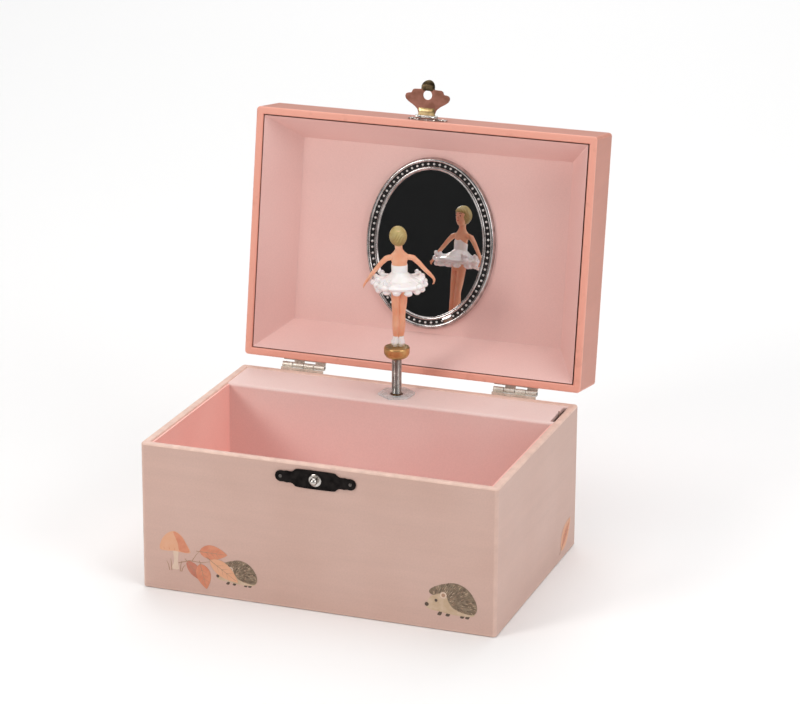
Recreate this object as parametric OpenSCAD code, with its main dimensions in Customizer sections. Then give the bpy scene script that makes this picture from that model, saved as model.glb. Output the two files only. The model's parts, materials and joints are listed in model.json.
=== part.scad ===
// Musical jewellery box with a hinged lid, a turning ballerina on a spring post,
// an oval mirror in the lid and a wind-up movement under the rear platform.
// Millimetres. X is to the right, Y to the back, Z up, origin under the middle of the base.

/* [Case] */
// Outside width of the box
case_w = 190; // [180:1:200]
// Outside depth of the box
case_d = 135; // [130:1:142]
// Height of the lower box
case_h = 78; // [76:1:84]
// Thickness of the wall boards
board_t = 4; // [4:0.1:4.5]
// Radius of the upright corners
corner_r = 1.9; // [1:0.1:2]

/* [Lid] */
// Height of the lid
lid_h = 30; // [28:1:32]
// Angle at which the lid stands open
open_deg = 98.8; // [95:0.1:102]
// Width of the mirror glass
mirror_w = 60; // [50:1:64]
// Height of the mirror glass
mirror_h = 80; // [70:1:84]

/* [Figure] */
// Distance of the post from the middle of the box towards the back
post_y = 50; // [49:0.5:50.5]
// Angle by which the figure is turned from the mirror
face_deg = 25; // [0:1:180]
// Radius of the skirt
tutu_r = 16.2; // [14:0.1:17]

/* [Movement] */
// Teeth on the face gear of the spring barrel
crown_teeth = 24; // [24]
// Notes on the comb
notes = 18; // [12:1:20]

/* [Hidden] */

$fn = 48;
eps = 0.01;
half_w = case_w / 2;
half_d = case_d / 2;
in_x = half_w - board_t;
in_y = half_d - board_t;
bottom_t = 4;
card = 1;                       // lining card
top_h = case_h + lid_h;         // closed height

// Lid hinge
axis_y = half_d + 3.2;
axis_z = case_h + 1.9;
knuckle_r = 1.5;
hinge_pin_r = 0.75;
run_fit = 0.05;                 // radial clearance of a turning fit
leaf_t = 0.8;
leaf_w = 24.4;
leaf_h = 11;
hinge_x = [-60.8, 59.2];
knuckles = 4;
knuckle_gap = 0.3;
screw_head_r = 1.5;
screw_r = 0.7;
screw_len = 3.2;
hole_fit = 0.05;
hinge_screw_x = [-8, 8];
leaf_screw_z = 6;               // below or above the knuckle axis

// Platform over the movement
shelf_y = 36;
shelf_t = 2;
shelf_z = case_h - 0.5;
slot_w = 2.4;
slot_in = 3;
post_hole_r = 3.4;

// Lid lining
ceiling_z = case_h + 24;
ceiling_t = 1.2;
ceil_x = 76;
ceil_front = -50.5;
ceil_back = 49;
bevel_foot_x = in_x - 1;
bevel_foot_y = in_y;
bevel_foot_z = case_h + 0.6;
lid_top_t = 3.5;
frame_band = 6.4;
frame_t = 3;
glass_t = 1;
oval_steps = 96;

// Catch on the front
hasp_z = case_h + 4;
hasp_y = -half_d - 1.9;
hasp_reach = 11.6;
hasp_r = 1.1;
hasp_pin_r = 0.5;
tongue_t = 0.8;
stud_z = hasp_z - hasp_reach;
ball_r = 2;
nail_r = 0.5;
nail_head_r = 0.9;
nail_x_keeper = 18.6;
nail_x_hasp = 8.6;

// Figure on its post
spring_r = 2.65;
spring_bore = 2.15;
stub_r = 2;
spring_low = case_h + 0.3;
spring_high = 96.5;
cup_top = 102.5;
skull_z = 164.6;
skull_r = 4.3;
hair_r = 5;
leg_low = cup_top + 5.25;
leg_len = 26;

// Movement on the inside of the back board
plate_t = 2;
plate_y = in_y - plate_t;
barrel_z = 36;
crown_r = 12;
barrel_r = 13.6;
barrel_wall = 0.9;
pinion_r = 4;
pinion_teeth = 8;
mesh_y = post_y + 3.6;          // tips of the face gear's teeth
crown_face_y = post_y + 4.9;
barrel_back_y = plate_y - 0.8;
arbor_r = 2.5;
drum_x0 = 17;
drum_len = 24;
drum_r = 6.5;
pin_r = 0.35;
pin_h = 0.7;
drum_shaft_r = 1;
gear_x = 45;
gear_r = 7.2;
gear_teeth = 18;
worm_r = 3.2;
worm_teeth = 8;
fly_teeth = 24;
governor_z = barrel_z + gear_r + worm_r;
fly_y = post_y - 9.4;
fly_x = gear_x + 4.6;
fly_top = 13.6;                 // top of the fly above the governor's axis
wire_r = 0.5;
module_fn = 32;

// Box with rounded outer upright edges along one long side
module board_outline(length, thick) {
    translate([-length / 2 + corner_r, 0]) square([length - 2 * corner_r, thick]);
    translate([-length / 2, corner_r]) square([length, thick - corner_r]);
    for (side = [-1, 1]) translate([side * (length / 2 - corner_r), corner_r]) circle(corner_r);
}

module long_board(z0, height) {
    translate([0, -half_d, z0]) linear_extrude(height) board_outline(case_w, board_t);
}

// A row of round holes along Y at the places given as [x, z]
module holes_y(places, radius, y0, length) {
    for (p = places) translate([p[0], y0, p[1]]) rotate([-90, 0, 0]) cylinder(r = radius, h = length);
}

// Pan-head screws or nails with their heads at y0; dir is 1 when they go in along +Y
module nails_y(places, head_r, shank_r, head_t, length, y0, dir) {
    for (p = places) translate([p[0], y0, p[1]]) rotate([dir > 0 ? -90 : 90, 0, 0]) {
        cylinder(r = shank_r, h = length);
        translate([0, 0, -head_t]) cylinder(r1 = head_r * 0.7, r2 = head_r, h = head_t);
    }
}

function pairs(xs, ys, z) = [for (c = xs) for (d = ys) [c + d, z]];
base_screw_places = pairs(hinge_x, hinge_screw_x, axis_z - leaf_screw_z);
lid_screw_places = pairs(hinge_x, hinge_screw_x, axis_z + leaf_screw_z);
plate_screw_places = [[-18, 16], [-18, 56], [46, 16]];
keeper_nail_places = [[-nail_x_keeper, stud_z], [nail_x_keeper, stud_z]];
hasp_nail_places = [[-nail_x_hasp, hasp_z + 2.4], [nail_x_hasp, hasp_z + 2.4]];

// ---- Case ----

module base_front() {
    color("#cdaa9b") difference() {
        long_board(0, case_h);
        holes_y(keeper_nail_places, nail_r + hole_fit, -half_d - eps, 3);
        holes_y([[0, stud_z]], 1.25, -half_d - eps, 3.2);
    }
}

module base_back() {
    color("#cdaa9b") difference() {
        rotate([0, 0, 180]) long_board(0, case_h);
        holes_y(base_screw_places, screw_r + hole_fit, half_d - 3, 4);
        holes_y(plate_screw_places, screw_r + hole_fit, in_y - 1, board_t + 2);
        holes_y([[0, barrel_z]], arbor_r + 1, in_y - 1, board_t + 2);
    }
}

module base_side(side) {
    translate([side > 0 ? in_x : -half_w, -in_y, 0]) cube([board_t, 2 * in_y, case_h]);
}

module base_left() {
    color("#d7b4aa") base_side(-1);
}

module base_right() {
    color("#d7b4aa") base_side(1);
}

module base_bottom() {
    color("#c9a394") translate([-in_x, -in_y, 0]) cube([2 * in_x, 2 * in_y, bottom_t]);
}

module lining_floor() {
    color("#e8a59c") translate([-in_x, -in_y, bottom_t]) cube([2 * in_x, in_y + shelf_y, card]);
}

module lining_front() {
    color("#e8a59c") translate([-in_x + card, -in_y, bottom_t + card])
        cube([2 * (in_x - card), card, case_h - 1 - bottom_t - card]);
}

module lining_sides() {
    color("#ee9c90") for (side = [-1, 1])
        translate([side > 0 ? in_x - card : -in_x, -in_y, bottom_t + card])
            cube([card, in_y + shelf_y, case_h - 1 - bottom_t - card]);
}

module platform_top() {
    color("#ebc6bf") difference() {
        translate([-in_x, shelf_y, shelf_z - shelf_t]) cube([2 * in_x, in_y - shelf_y, shelf_t]);
        translate([in_x - slot_w, shelf_y + slot_in, shelf_z - shelf_t - 1])
            cube([slot_w + 1, in_y - shelf_y - 2 * slot_in, shelf_t + 2]);
        translate([0, post_y, shelf_z - shelf_t - 1]) cylinder(r = post_hole_r, h = shelf_t + 2);
    }
}

module platform_front() {
    color("#e8a59c") translate([-in_x, shelf_y, bottom_t])
        cube([2 * in_x, shelf_t, shelf_z - shelf_t - bottom_t]);
}

// Six-sided plate with a shallow dish round the post
module post_escutcheon() {
    color("silver") translate([0, post_y, shelf_z]) difference() {
        rotate([0, 0, face_deg]) cylinder(r = 9.9, h = 1.3, $fn = 6);
        translate([0, 0, 0.5]) cylinder(r1 = post_hole_r + 0.6, r2 = 7.6, h = 1);
        translate([0, 0, -1]) cylinder(r = post_hole_r, h = 4);
    }
}

// Scalloped plate outline, symmetrical about x = 0; each lobe is [x, y, radius]
module lobed_plate(lobes, bar_w, bar_h) {
    square([bar_w, bar_h], center = true);
    for (lobe = lobes) for (side = [-1, 1]) translate([side * lobe[0], lobe[1]]) circle(lobe[2]);
}

module on_front(z0) {
    translate([0, -half_d, z0]) rotate([90, 0, 0]) children();
}

module keeper_plate() {
    color("gainsboro") difference() {
        on_front(stud_z) linear_extrude(leaf_t)
            lobed_plate([[0, 0, 6], [4.5, 2.2, 3], [4.5, -2.2, 3], [9.5, 0, 3.6], [14.5, 0, 3],
                [18.6, 0, 2.8]], 38, 3);
        holes_y(keeper_nail_places, nail_r + hole_fit, -half_d - 2, 3);
        holes_y([[0, stud_z]], 1.25, -half_d - 2, 3);
    }
}

module keeper_stud() {
    color("silver") on_front(stud_z) rotate_extrude() {
        translate([0, -3]) square([1.2, 5]);
        translate([0, leaf_t]) square([2.9, 0.3]);
        intersection() {
            translate([0, 2.7]) circle(ball_r);
            translate([0, 0.7]) square([ball_r, 2 * ball_r]);
        }
    }
}

module keeper_nails() {
    color("silver") nails_y(keeper_nail_places, nail_head_r, nail_r, 0.4, 3, -half_d - leaf_t, 1);
}

// ---- Hinges ----

// One leaf: a plate on the back face, a strap to the axis and every second knuckle.
// up is 1 for the lid's leaf and -1 for the base's leaf.
module hinge_leaf(up, first, bore_r) {
    pitch = leaf_w / knuckles;
    for (cx = hinge_x) difference() {
        union() {
            translate([cx - leaf_w / 2, half_d, up > 0 ? axis_z + 0.8 : axis_z - leaf_h])
                cube([leaf_w, leaf_t, leaf_h - 0.8]);
            for (i = [first : 2 : knuckles - 1])
                translate([cx - leaf_w / 2 + i * pitch + knuckle_gap / 2, 0, 0]) {
                    translate([0, half_d, axis_z + (up > 0 ? 0.8 : -knuckle_r)])
                        cube([pitch - knuckle_gap, axis_y - half_d, knuckle_r - 0.8]);
                    translate([0, axis_y, axis_z]) rotate([0, 90, 0])
                        cylinder(r = knuckle_r, h = pitch - knuckle_gap);
                }
        }
        translate([cx - leaf_w / 2 - 1, axis_y, axis_z]) rotate([0, 90, 0])
            cylinder(r = bore_r, h = leaf_w + 2);
        holes_y(pairs([cx], hinge_screw_x, axis_z + up * leaf_screw_z), screw_r + hole_fit, half_d - 1, 3);
    }
}

module base_hinge_leaves() {
    color("silver") hinge_leaf(-1, 0, hinge_pin_r);
}

module hinge_pins() {
    color("dimgray") for (cx = hinge_x) translate([cx - leaf_w / 2, axis_y, axis_z])
        rotate([0, 90, 0]) cylinder(r = hinge_pin_r, h = leaf_w);
}

module base_hinge_screws() {
    color("silver") nails_y(base_screw_places, screw_head_r, screw_r, 0.7, screw_len, half_d + leaf_t, -1);
}

// ---- Lid: modelled closed, then swung open about the hinge axis ----

module opened() {
    translate([0, axis_y, axis_z]) rotate([-open_deg, 0, 0]) translate([0, -axis_y, -axis_z]) children();
}

module lid_top() {
    color("#de9784") opened() translate([0, 0, top_h - lid_top_t])
        linear_extrude(lid_top_t) union() {
            square([case_w - 2 * corner_r, case_d], center = true);
            square([case_w, case_d - 2 * corner_r], center = true);
            for (sx = [-1, 1]) for (sy = [-1, 1])
                translate([sx * (half_w - corner_r), sy * (half_d - corner_r)]) circle(corner_r);
        }
}

module lid_front() {
    color("#de9784") opened() difference() {
        long_board(case_h, lid_h - lid_top_t);
        holes_y(hasp_nail_places, nail_r + hole_fit, -half_d - eps, 3);
    }
}

module lid_back() {
    color("#de9784") opened() difference() {
        rotate([0, 0, 180]) long_board(case_h, lid_h - lid_top_t);
        holes_y(lid_screw_places, screw_r + hole_fit, half_d - 3, 4);
    }
}

module lid_sides() {
    color("#cf8f7e") opened() for (side = [-1, 1])
        translate([side > 0 ? in_x : -half_w, -in_y, case_h]) cube([board_t, 2 * in_y, lid_h - lid_top_t]);
}

module lid_ceiling() {
    color("#e8b4ae") opened() translate([-ceil_x, ceil_front, ceiling_z])
        cube([2 * ceil_x, ceil_back - ceil_front, ceiling_t]);
}

// A sloping card panel from a foot edge to a ceiling edge; its ends are mitred.
// Points go foot a, foot b, head b, head a; the back face lies one card further out.
module bevel_panel(a, b, c, d, out) {
    shown = [a, b, c, d];
    back = [for (p = shown) p + out];
    polyhedron(points = concat(shown, back), faces = [[0, 1, 2, 3], [7, 6, 5, 4],
        [0, 4, 5, 1], [1, 5, 6, 2], [2, 6, 7, 3], [3, 7, 4, 0]]);
}

module lid_bevel_panels() {
    gap = 0.02;
    foot = bevel_foot_z;
    head = ceiling_z;
    fx = bevel_foot_x;
    fy = bevel_foot_y;
    color("#e8b4ae") opened() {
        bevel_panel([-fx + gap, -fy, foot], [fx - gap, -fy, foot], [ceil_x - gap, ceil_front, head],
            [-ceil_x + gap, ceil_front, head], [0, 0, card]);
        bevel_panel([fx - gap, fy, foot], [-fx + gap, fy, foot], [-ceil_x + gap, ceil_back, head],
            [ceil_x - gap, ceil_back, head], [0, 0, card]);
        bevel_panel([fx, -fy + gap, foot], [fx, fy - gap, foot], [ceil_x, ceil_back - gap, head],
            [ceil_x, ceil_front + gap, head], [0, 0, card]);
        bevel_panel([-fx, fy - gap, foot], [-fx, -fy + gap, foot], [-ceil_x, ceil_front + gap, head],
            [-ceil_x, ceil_back - gap, head], [0, 0, card]);
    }
}

function oval(w, h) = [for (i = [0 : oval_steps - 1])
    [w / 2 * cos(i * 360 / oval_steps), h / 2 * sin(i * 360 / oval_steps)]];

module oval_slab(w, h, z0, thick) {
    translate([0, 0, z0]) linear_extrude(thick) polygon(oval(w, h));
}

module mirror_backing() {
    color("dimgray") opened() oval_slab(mirror_w + 6, mirror_h + 6, ceiling_z - 0.8, 0.8);
}

module mirror_glass() {
    color("lightsteelblue") opened()
        oval_slab(mirror_w + 3, mirror_h + 3, ceiling_z - 0.8 - glass_t, glass_t);
}

module mirror_frame() {
    outer_w = mirror_w + 2 * frame_band;
    outer_h = mirror_h + 2 * frame_band;
    color("silver") opened() difference() {
        oval_slab(outer_w, outer_h, ceiling_z - frame_t, frame_t);
        oval_slab(mirror_w, mirror_h, ceiling_z - frame_t - 1, frame_t + 2);
        oval_slab(mirror_w + 6.4, mirror_h + 6.4, ceiling_z - 1.85, 3);
    }
}

module lid_hinge_leaves() {
    color("silver") opened() hinge_leaf(1, 1, hinge_pin_r + run_fit);
}

module lid_hinge_screws() {
    color("silver") opened()
        nails_y(lid_screw_places, screw_head_r, screw_r, 0.7, screw_len, half_d + leaf_t, -1);
}

// ---- Catch ----

module barrel_x(x0, length, radius) {
    translate([x0, hasp_y, hasp_z]) rotate([0, 90, 0]) cylinder(r = radius, h = length);
}

module hasp_mount() {
    color("silver") opened() difference() {
        union() {
            on_front(hasp_z + 2.4) linear_extrude(leaf_t)
                lobed_plate([[0, 1.4, 3], [4.6, 0.6, 2.6], [8.6, 0, 2.3]], 18, 3);
            for (side = [-1, 1]) translate([side * 4.6 - 1.4, 0, 0]) {
                barrel_x(0, 2.8, hasp_r);
                translate([0, hasp_y, hasp_z + 0.55]) cube([2.8, -half_d - hasp_y, 0.55]);
            }
        }
        barrel_x(-8, 16, hasp_pin_r);
        holes_y(hasp_nail_places, nail_r + hole_fit, -half_d - 2, 3);
    }
}

module hasp_nails() {
    color("silver") opened()
        nails_y(hasp_nail_places, nail_head_r, nail_r, 0.4, 3, -half_d - leaf_t, 1);
}

module hasp_pin() {
    color("dimgray") opened() barrel_x(-6, 12, hasp_pin_r);
}

// The tongue stands straight out from the lid's front face
module hasp_tongue() {
    color("silver") opened() difference() {
        union() {
            barrel_x(-3, 6, hasp_r);
            translate([0, hasp_y, hasp_z - tongue_t / 2]) linear_extrude(tongue_t) {
                translate([-3, -3]) square([6, 3]);
                translate([-5, -7.5]) square([10, 5.5]);
                for (side = [-1, 1]) {
                    translate([side * 8.3, -11.8]) circle(4.2);
                    translate([side * 4.6, -9.6]) circle(3.4);
                    translate([side * 4.2, -15.2]) circle(2.6);
                }
                translate([0, -hasp_reach]) circle(5.8);
                translate([0, -17.6]) circle(3.1);
            }
            translate([0, hasp_y - 17.8, hasp_z]) cylinder(r1 = 2.6, r2 = 1.8, h = 1.3);
        }
        barrel_x(-4, 8, hasp_pin_r + run_fit);
        translate([0, hasp_y - hasp_reach, hasp_z - 1]) cylinder(r = ball_r + 0.5, h = 2);
    }
}

// ---- Figure ----

module at_post() {
    translate([0, post_y, 0]) rotate([0, 0, face_deg]) children();
}

module post_spring() {
    color("silver") translate([0, post_y, spring_low]) difference() {
        cylinder(r = spring_r, h = spring_high - spring_low);
        translate([0, 0, -1]) cylinder(r = spring_bore, h = spring_high - spring_low + 2);
    }
}

module figure_cup() {
    color("gold") translate([0, post_y, 0]) rotate_extrude()
        polygon([[0, 92.5], [stub_r, 92.5], [stub_r, spring_high], [4, spring_high], [4.3, 97.4],
            [6.2, 100.2], [6.8, 101.6], [6.8, cup_top], [0, cup_top]]);
}

module figure_shoes() {
    color("white") at_post() for (side = [-1, 1]) hull() {
        translate([side * 1.8, -0.4, cup_top + 1.4]) sphere(1.35, $fn = 24);
        translate([side * 2.4, 2.2, cup_top + 1.1]) sphere(1, $fn = 24);
        translate([side * 1.8, -0.6, cup_top + 4.2]) cylinder(r = 1.5, h = 1, $fn = 24);
    }
}

// Two legs side by side, each turned from ankle to hip
module figure_legs() {
    color("#ecc3a6") at_post() for (side = [-1, 1]) translate([side * 2.06, -0.4, leg_low]) rotate_extrude()
        polygon([[0, 0], [1.25, 0], [1.2, 2], [1.95, 8], [1.65, 13], [2, 20], [2, leg_len], [0, leg_len]]);
}

// Torso, neck and head in one turned form
module figure_body() {
    torso_low = leg_low + leg_len + 0.05;
    jaw_z = skull_z - 2.7;
    jaw_r = 3.4;
    color("#ecc3a6") at_post() rotate_extrude() {
        polygon([[0, torso_low], [3.4, torso_low], [3.9, 137], [3.3, 142], [3, 146.5], [3.7, 150],
            [4.3, 153], [3.4, 154.8], [1.75, 155.8], [1.7, jaw_z], [0, jaw_z]]);
        for (ball = [[skull_z, skull_r], [jaw_z, jaw_r]]) intersection() {
            translate([0, ball[0]]) circle(ball[1]);
            translate([0, ball[0] - ball[1]]) square([ball[1], 2 * ball[1]]);
        }
    }
}

// Upper arm and forearm on each side, a hull of two balls each
module figure_arms() {
    shoulder = [5.9, 0, 153];
    elbow = [12.7, 0.8, 146.2];
    hand = [19.2, 2.6, 138];
    color("#ecc3a6") at_post() for (side = [-1, 1]) for (bone = [[shoulder, elbow, 1.3], [elbow, hand, 1]])
        hull() for (end = [0, 1]) translate([side * bone[end][0], bone[end][1], bone[end][2]])
            sphere(bone[2] - 0.2 * end, $fn = 20);
}

module figure_tutu() {
    color("white") translate([0, post_y, 0]) rotate_extrude()
        polygon([[4.3, 145], [7, 143.6], [11, 142], [tutu_r - 0.8, 140.6], [tutu_r, 138.2],
            [tutu_r - 1.2, 136], [10, 134.6], [5.4, 134.2], [4.3, 136]]);
}

module figure_bodice() {
    color("white") translate([0, post_y, 0]) difference() {
        translate([0, 0, 145.05]) cylinder(r1 = 4.5, r2 = 4.8, h = 4.6);
        translate([0, 0, 144]) cylinder(r = 4.15, h = 8);
    }
}

// Cap of hair, cut away over the face and below the nape
module figure_hair() {
    color("#e8c77a") at_post() difference() {
        translate([0, -0.3, skull_z + 0.1]) sphere(hair_r);
        translate([0, 0, skull_z]) sphere(skull_r + 0.3);
        translate([-8, 1.4, skull_z - 8]) cube([16, 8, 10.2]);
        translate([-8, -8, skull_z - 9]) cube([16, 16, 6.6]);
    }
}

// ---- Movement ----

// Gear blank along Z with square teeth and a tooth centred on +X
module spur(teeth, pitch_r, tip, root, tooth_w, face) {
    cylinder(r = pitch_r - root, h = face, $fn = module_fn);
    for (i = [0 : teeth - 1]) rotate([0, 0, i * 360 / teeth])
        translate([pitch_r - root - 0.4, -tooth_w / 2, 0]) cube([root + tip + 0.4, tooth_w, face]);
}

module along_x(x0, y0, z0) {
    translate([x0, y0, z0]) rotate([0, 90, 0]) children();
}

module movement_plate() {
    color("#b8b4a8") difference() {
        union() {
            translate([-24, plate_y, 10]) cube([77, plate_t, 52]);
            // boss that carries the comb
            translate([drum_x0 - 1, post_y + 0.6, 12]) cube([drum_len + 2, plate_y - post_y - 0.6, 7]);
        }
        holes_y([[0, barrel_z]], arbor_r + run_fit, plate_y - 1, plate_t + 2);
        holes_y(plate_screw_places, screw_r + hole_fit, plate_y - 1, plate_t + 2);
        holes_y(comb_screw_places, screw_r + hole_fit, post_y, 6);
    }
}

comb_screw_places = [[drum_x0 + 4, 15], [drum_x0 + drum_len - 4, 15]];

module movement_screws() {
    color("silver") nails_y(plate_screw_places, 2, screw_r, 1, board_t + plate_t - 0.2, half_d, -1);
}

module comb() {
    pitch = (drum_len - 1) / notes;
    color("#9aa0a6") difference() {
        union() {
            translate([drum_x0, post_y - 0.4, 12]) cube([drum_len, 1, 9]);
            for (i = [0 : notes - 1]) translate([drum_x0 + 0.6 + i * pitch, post_y - 0.2, 20.9])
                cube([pitch * 0.7, 0.6, barrel_z - drum_r - pin_h - 0.3 - 20.9]);
        }
        holes_y(comb_screw_places, screw_r + hole_fit, post_y - 2, 4);
    }
}

module comb_screws() {
    color("silver") nails_y(comb_screw_places, screw_head_r, screw_r, 0.8, 5, post_y - 0.4, 1);
}

module cylinder_bearings() {
    color("#b8b4a8") for (x0 = [14.8, 42.4]) difference() {
        translate([x0, post_y - 3, barrel_z - 3]) cube([1.2, plate_y - post_y + 3, 6]);
        along_x(x0 - 1, post_y, barrel_z) cylinder(r = drum_shaft_r + run_fit, h = 4);
    }
}

module spindle_bearing() {
    color("#b8b4a8") difference() {
        translate([-4, post_y - 4, 57]) cube([8, plate_y - post_y + 4, 2.4]);
        translate([0, post_y, 56]) cylinder(r = 1.2 + run_fit, h = 5);
    }
}

module spring_barrel() {
    face_t = 1;
    color("#c8a24a") translate([0, 0, barrel_z]) rotate([-90, 0, 0]) difference() {
        union() {
            translate([0, 0, crown_face_y]) cylinder(r = barrel_r, h = barrel_back_y - crown_face_y);
            for (i = [0 : crown_teeth - 1]) rotate([0, 0, (i + 0.5) * 360 / crown_teeth])
                translate([crown_r - 1.4, -0.45, mesh_y]) cube([2.8, 0.9, crown_face_y - mesh_y + eps]);
        }
        translate([0, 0, crown_face_y + face_t])
            cylinder(r = barrel_r - barrel_wall, h = barrel_back_y - crown_face_y);
        translate([0, 0, mesh_y - 1]) cylinder(r = arbor_r + run_fit, h = 12);
    }
}

// Flat ribbon wound as a spiral
module mainspring() {
    turns = 5;
    steps = turns * 24;
    inner = 3.2;
    outer = 11.9;
    ribbon = 0.5;
    radii = [for (i = [0 : steps]) inner + (outer - inner) * i / steps];
    edge_out = [for (i = [0 : steps]) (radii[i] + ribbon / 2) * [cos(i * 15), sin(i * 15)]];
    edge_in = [for (i = [steps : -1 : 0]) (radii[i] - ribbon / 2) * [cos(i * 15), sin(i * 15)]];
    color("#6b7280") translate([0, crown_face_y + 1.4, barrel_z]) rotate([-90, 0, 0])
        linear_extrude(barrel_back_y - crown_face_y - 2) polygon(concat(edge_out, edge_in));
}

module winding_arbor() {
    color("silver") translate([0, 0, barrel_z]) rotate([-90, 0, 0])
        translate([0, 0, mesh_y - 1.4]) cylinder(r = arbor_r, h = half_d + 3 - mesh_y + 1.4);
}

// Butterfly key that screws on the end of the arbor
module winding_key() {
    y0 = half_d + 1;
    wing_y = y0 + 9;
    color("silver") difference() {
        union() {
            translate([0, y0, barrel_z]) rotate([-90, 0, 0]) cylinder(r = 4, h = 6);
            translate([0, wing_y, barrel_z]) rotate([0, 0, 0]) hull() for (side = [-1, 1])
                translate([side * 10, 0, -1]) cylinder(r = 4.4, h = 2, $fn = 32);
            translate([0, y0 + 6, barrel_z]) rotate([-90, 0, 0]) cylinder(r = 2.6, h = 2);
        }
        translate([0, y0 - 1, barrel_z]) rotate([-90, 0, 0]) cylinder(r = arbor_r, h = 3);
    }
}

module pin_cylinder() {
    pitch = (drum_len - 1) / notes;
    color("#c8a24a") {
        along_x(9.6, post_y, barrel_z) cylinder(r = drum_shaft_r, h = gear_x + 3 - 9.6);
        along_x(drum_x0, post_y, barrel_z) cylinder(r = drum_r, h = drum_len);
        // pinion on the face gear, with a tooth towards the barrel
        along_x(crown_r - 1.2, post_y, barrel_z) rotate([0, 0, 90])
            spur(pinion_teeth, pinion_r, 0.4, 1, 0.9, 2.4);
        along_x(gear_x, post_y, barrel_z) rotate([0, 0, 180]) spur(gear_teeth, gear_r, 0.5, 0.9, 0.8, 2);
        for (i = [0 : notes - 1]) for (k = [0 : 1])
            translate([drum_x0 + 0.6 + (i + 0.35) * pitch, post_y, barrel_z])
                rotate([(i * 47 + k * 163) % 360, 0, 0])
                    translate([0, 0, drum_r - 0.3]) cylinder(r = pin_r, h = pin_h + 0.3, $fn = 16);
    }
}

module drive_spindle() {
    gear_z = barrel_z + crown_r - 1.2;
    color("#c8a24a") translate([0, post_y, 0]) {
        translate([0, 0, gear_z - 1]) cylinder(r = 1.2, h = 74 - gear_z + 1);
        translate([0, 0, gear_z]) rotate([0, 0, 90]) spur(pinion_teeth, pinion_r, 0.4, 1, 0.9, 2.4);
        translate([0, 0, 60]) cylinder(r = 2.2, h = 1.2);
        translate([0, 0, 73]) cylinder(r = stub_r, h = 9);
    }
}

module governor_housing() {
    color("#b8b4a8") difference() {
        union() {
            translate([gear_x - 2, post_y - 3, governor_z - 4]) cube([1.2, plate_y - post_y + 3, 8]);
            translate([gear_x + 6.8, fly_y - 2, governor_z - 9]) cube([1.2, plate_y - fly_y + 2, 18]);
            for (z0 = [-9, 7.8]) translate([fly_x - 2, fly_y - 2, governor_z + z0]) cube([5, 4, 1.2]);
        }
        along_x(gear_x - 4, post_y, governor_z) cylinder(r = 0.8 + run_fit, h = 14);
        translate([fly_x, fly_y, governor_z - 12]) cylinder(r = 0.5 + run_fit, h = 24);
    }
}

module governor_wheel() {
    color("#c8a24a") {
        along_x(gear_x - 2.4, post_y, governor_z) cylinder(r = 0.8, h = 10.4);
        along_x(gear_x, post_y, governor_z) rotate([0, 0, 180 / worm_teeth])
            spur(worm_teeth, worm_r, 0.5, 0.9, 0.8, 2);
        along_x(gear_x + 3.6, post_y, governor_z) spur(fly_teeth, 7, 0.5, 0.7, 0.7, 2);
    }
}

// Worm arbor with an air vane above its housing
module governor_fly() {
    color("#6b7280") translate([fly_x, fly_y, governor_z]) {
        translate([0, 0, -9.4]) cylinder(r = 0.5, h = fly_top + 9.4);
        translate([0, 0, -3]) cylinder(r = 1.5, h = 6);
        translate([-2.4, -0.3, fly_top - 3.6]) cube([4.8, 0.6, 3.4]);
    }
}

// The wire that the closing lid pushes down, until its end brakes the fly
module stop_wire() {
    wire_x = in_x - slot_w / 2 - 0.1;
    low_z = governor_z + fly_top + 3;
    color("silver") {
        translate([wire_x, post_y, low_z]) cylinder(r = wire_r, h = case_h + 1 - low_z);
        along_x(fly_x, post_y, low_z) cylinder(r = wire_r, h = wire_x - fly_x);
        translate([fly_x, post_y, low_z]) rotate([90, 0, 0]) cylinder(r = wire_r, h = post_y - fly_y);
        translate([fly_x, fly_y, low_z - 1.1]) cylinder(r = wire_r, h = 1.1);
        for (p = [[wire_x, post_y], [fly_x, post_y], [fly_x, fly_y]])
            translate([p[0], p[1], low_z]) sphere(wire_r);
    }
}

base_front();
base_back();
base_left();
base_right();
base_bottom();
lining_floor();
lining_front();
lining_sides();
platform_top();
platform_front();
post_escutcheon();
keeper_plate();
keeper_stud();
keeper_nails();
base_hinge_leaves();
hinge_pins();
base_hinge_screws();
lid_top();
lid_front();
lid_back();
lid_sides();
lid_ceiling();
lid_bevel_panels();
mirror_backing();
mirror_glass();
mirror_frame();
lid_hinge_leaves();
lid_hinge_screws();
hasp_mount();
hasp_nails();
hasp_pin();
hasp_tongue();
post_spring();
figure_cup();
figure_shoes();
figure_legs();
figure_body();
figure_arms();
figure_tutu();
figure_bodice();
figure_hair();
movement_plate();
movement_screws();
comb();
comb_screws();
cylinder_bearings();
spindle_bearing();
governor_housing();
spring_barrel();
mainspring();
winding_arbor();
winding_key();
pin_cylinder();
drive_spindle();
governor_wheel();
governor_fly();
stop_wire();
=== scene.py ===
"""Musical jewellery box with a turning dancer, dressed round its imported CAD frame.

Units are metres; a size whose name ends in _mm is in millimetres. X is right, Y is back, Z is up.
"""
import json
import logging
import math
from dataclasses import dataclass, field
from enum import Enum
from typing import Iterable, Sequence

import bmesh
import bpy
import numpy as np
from mathutils import Matrix, Vector


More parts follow.
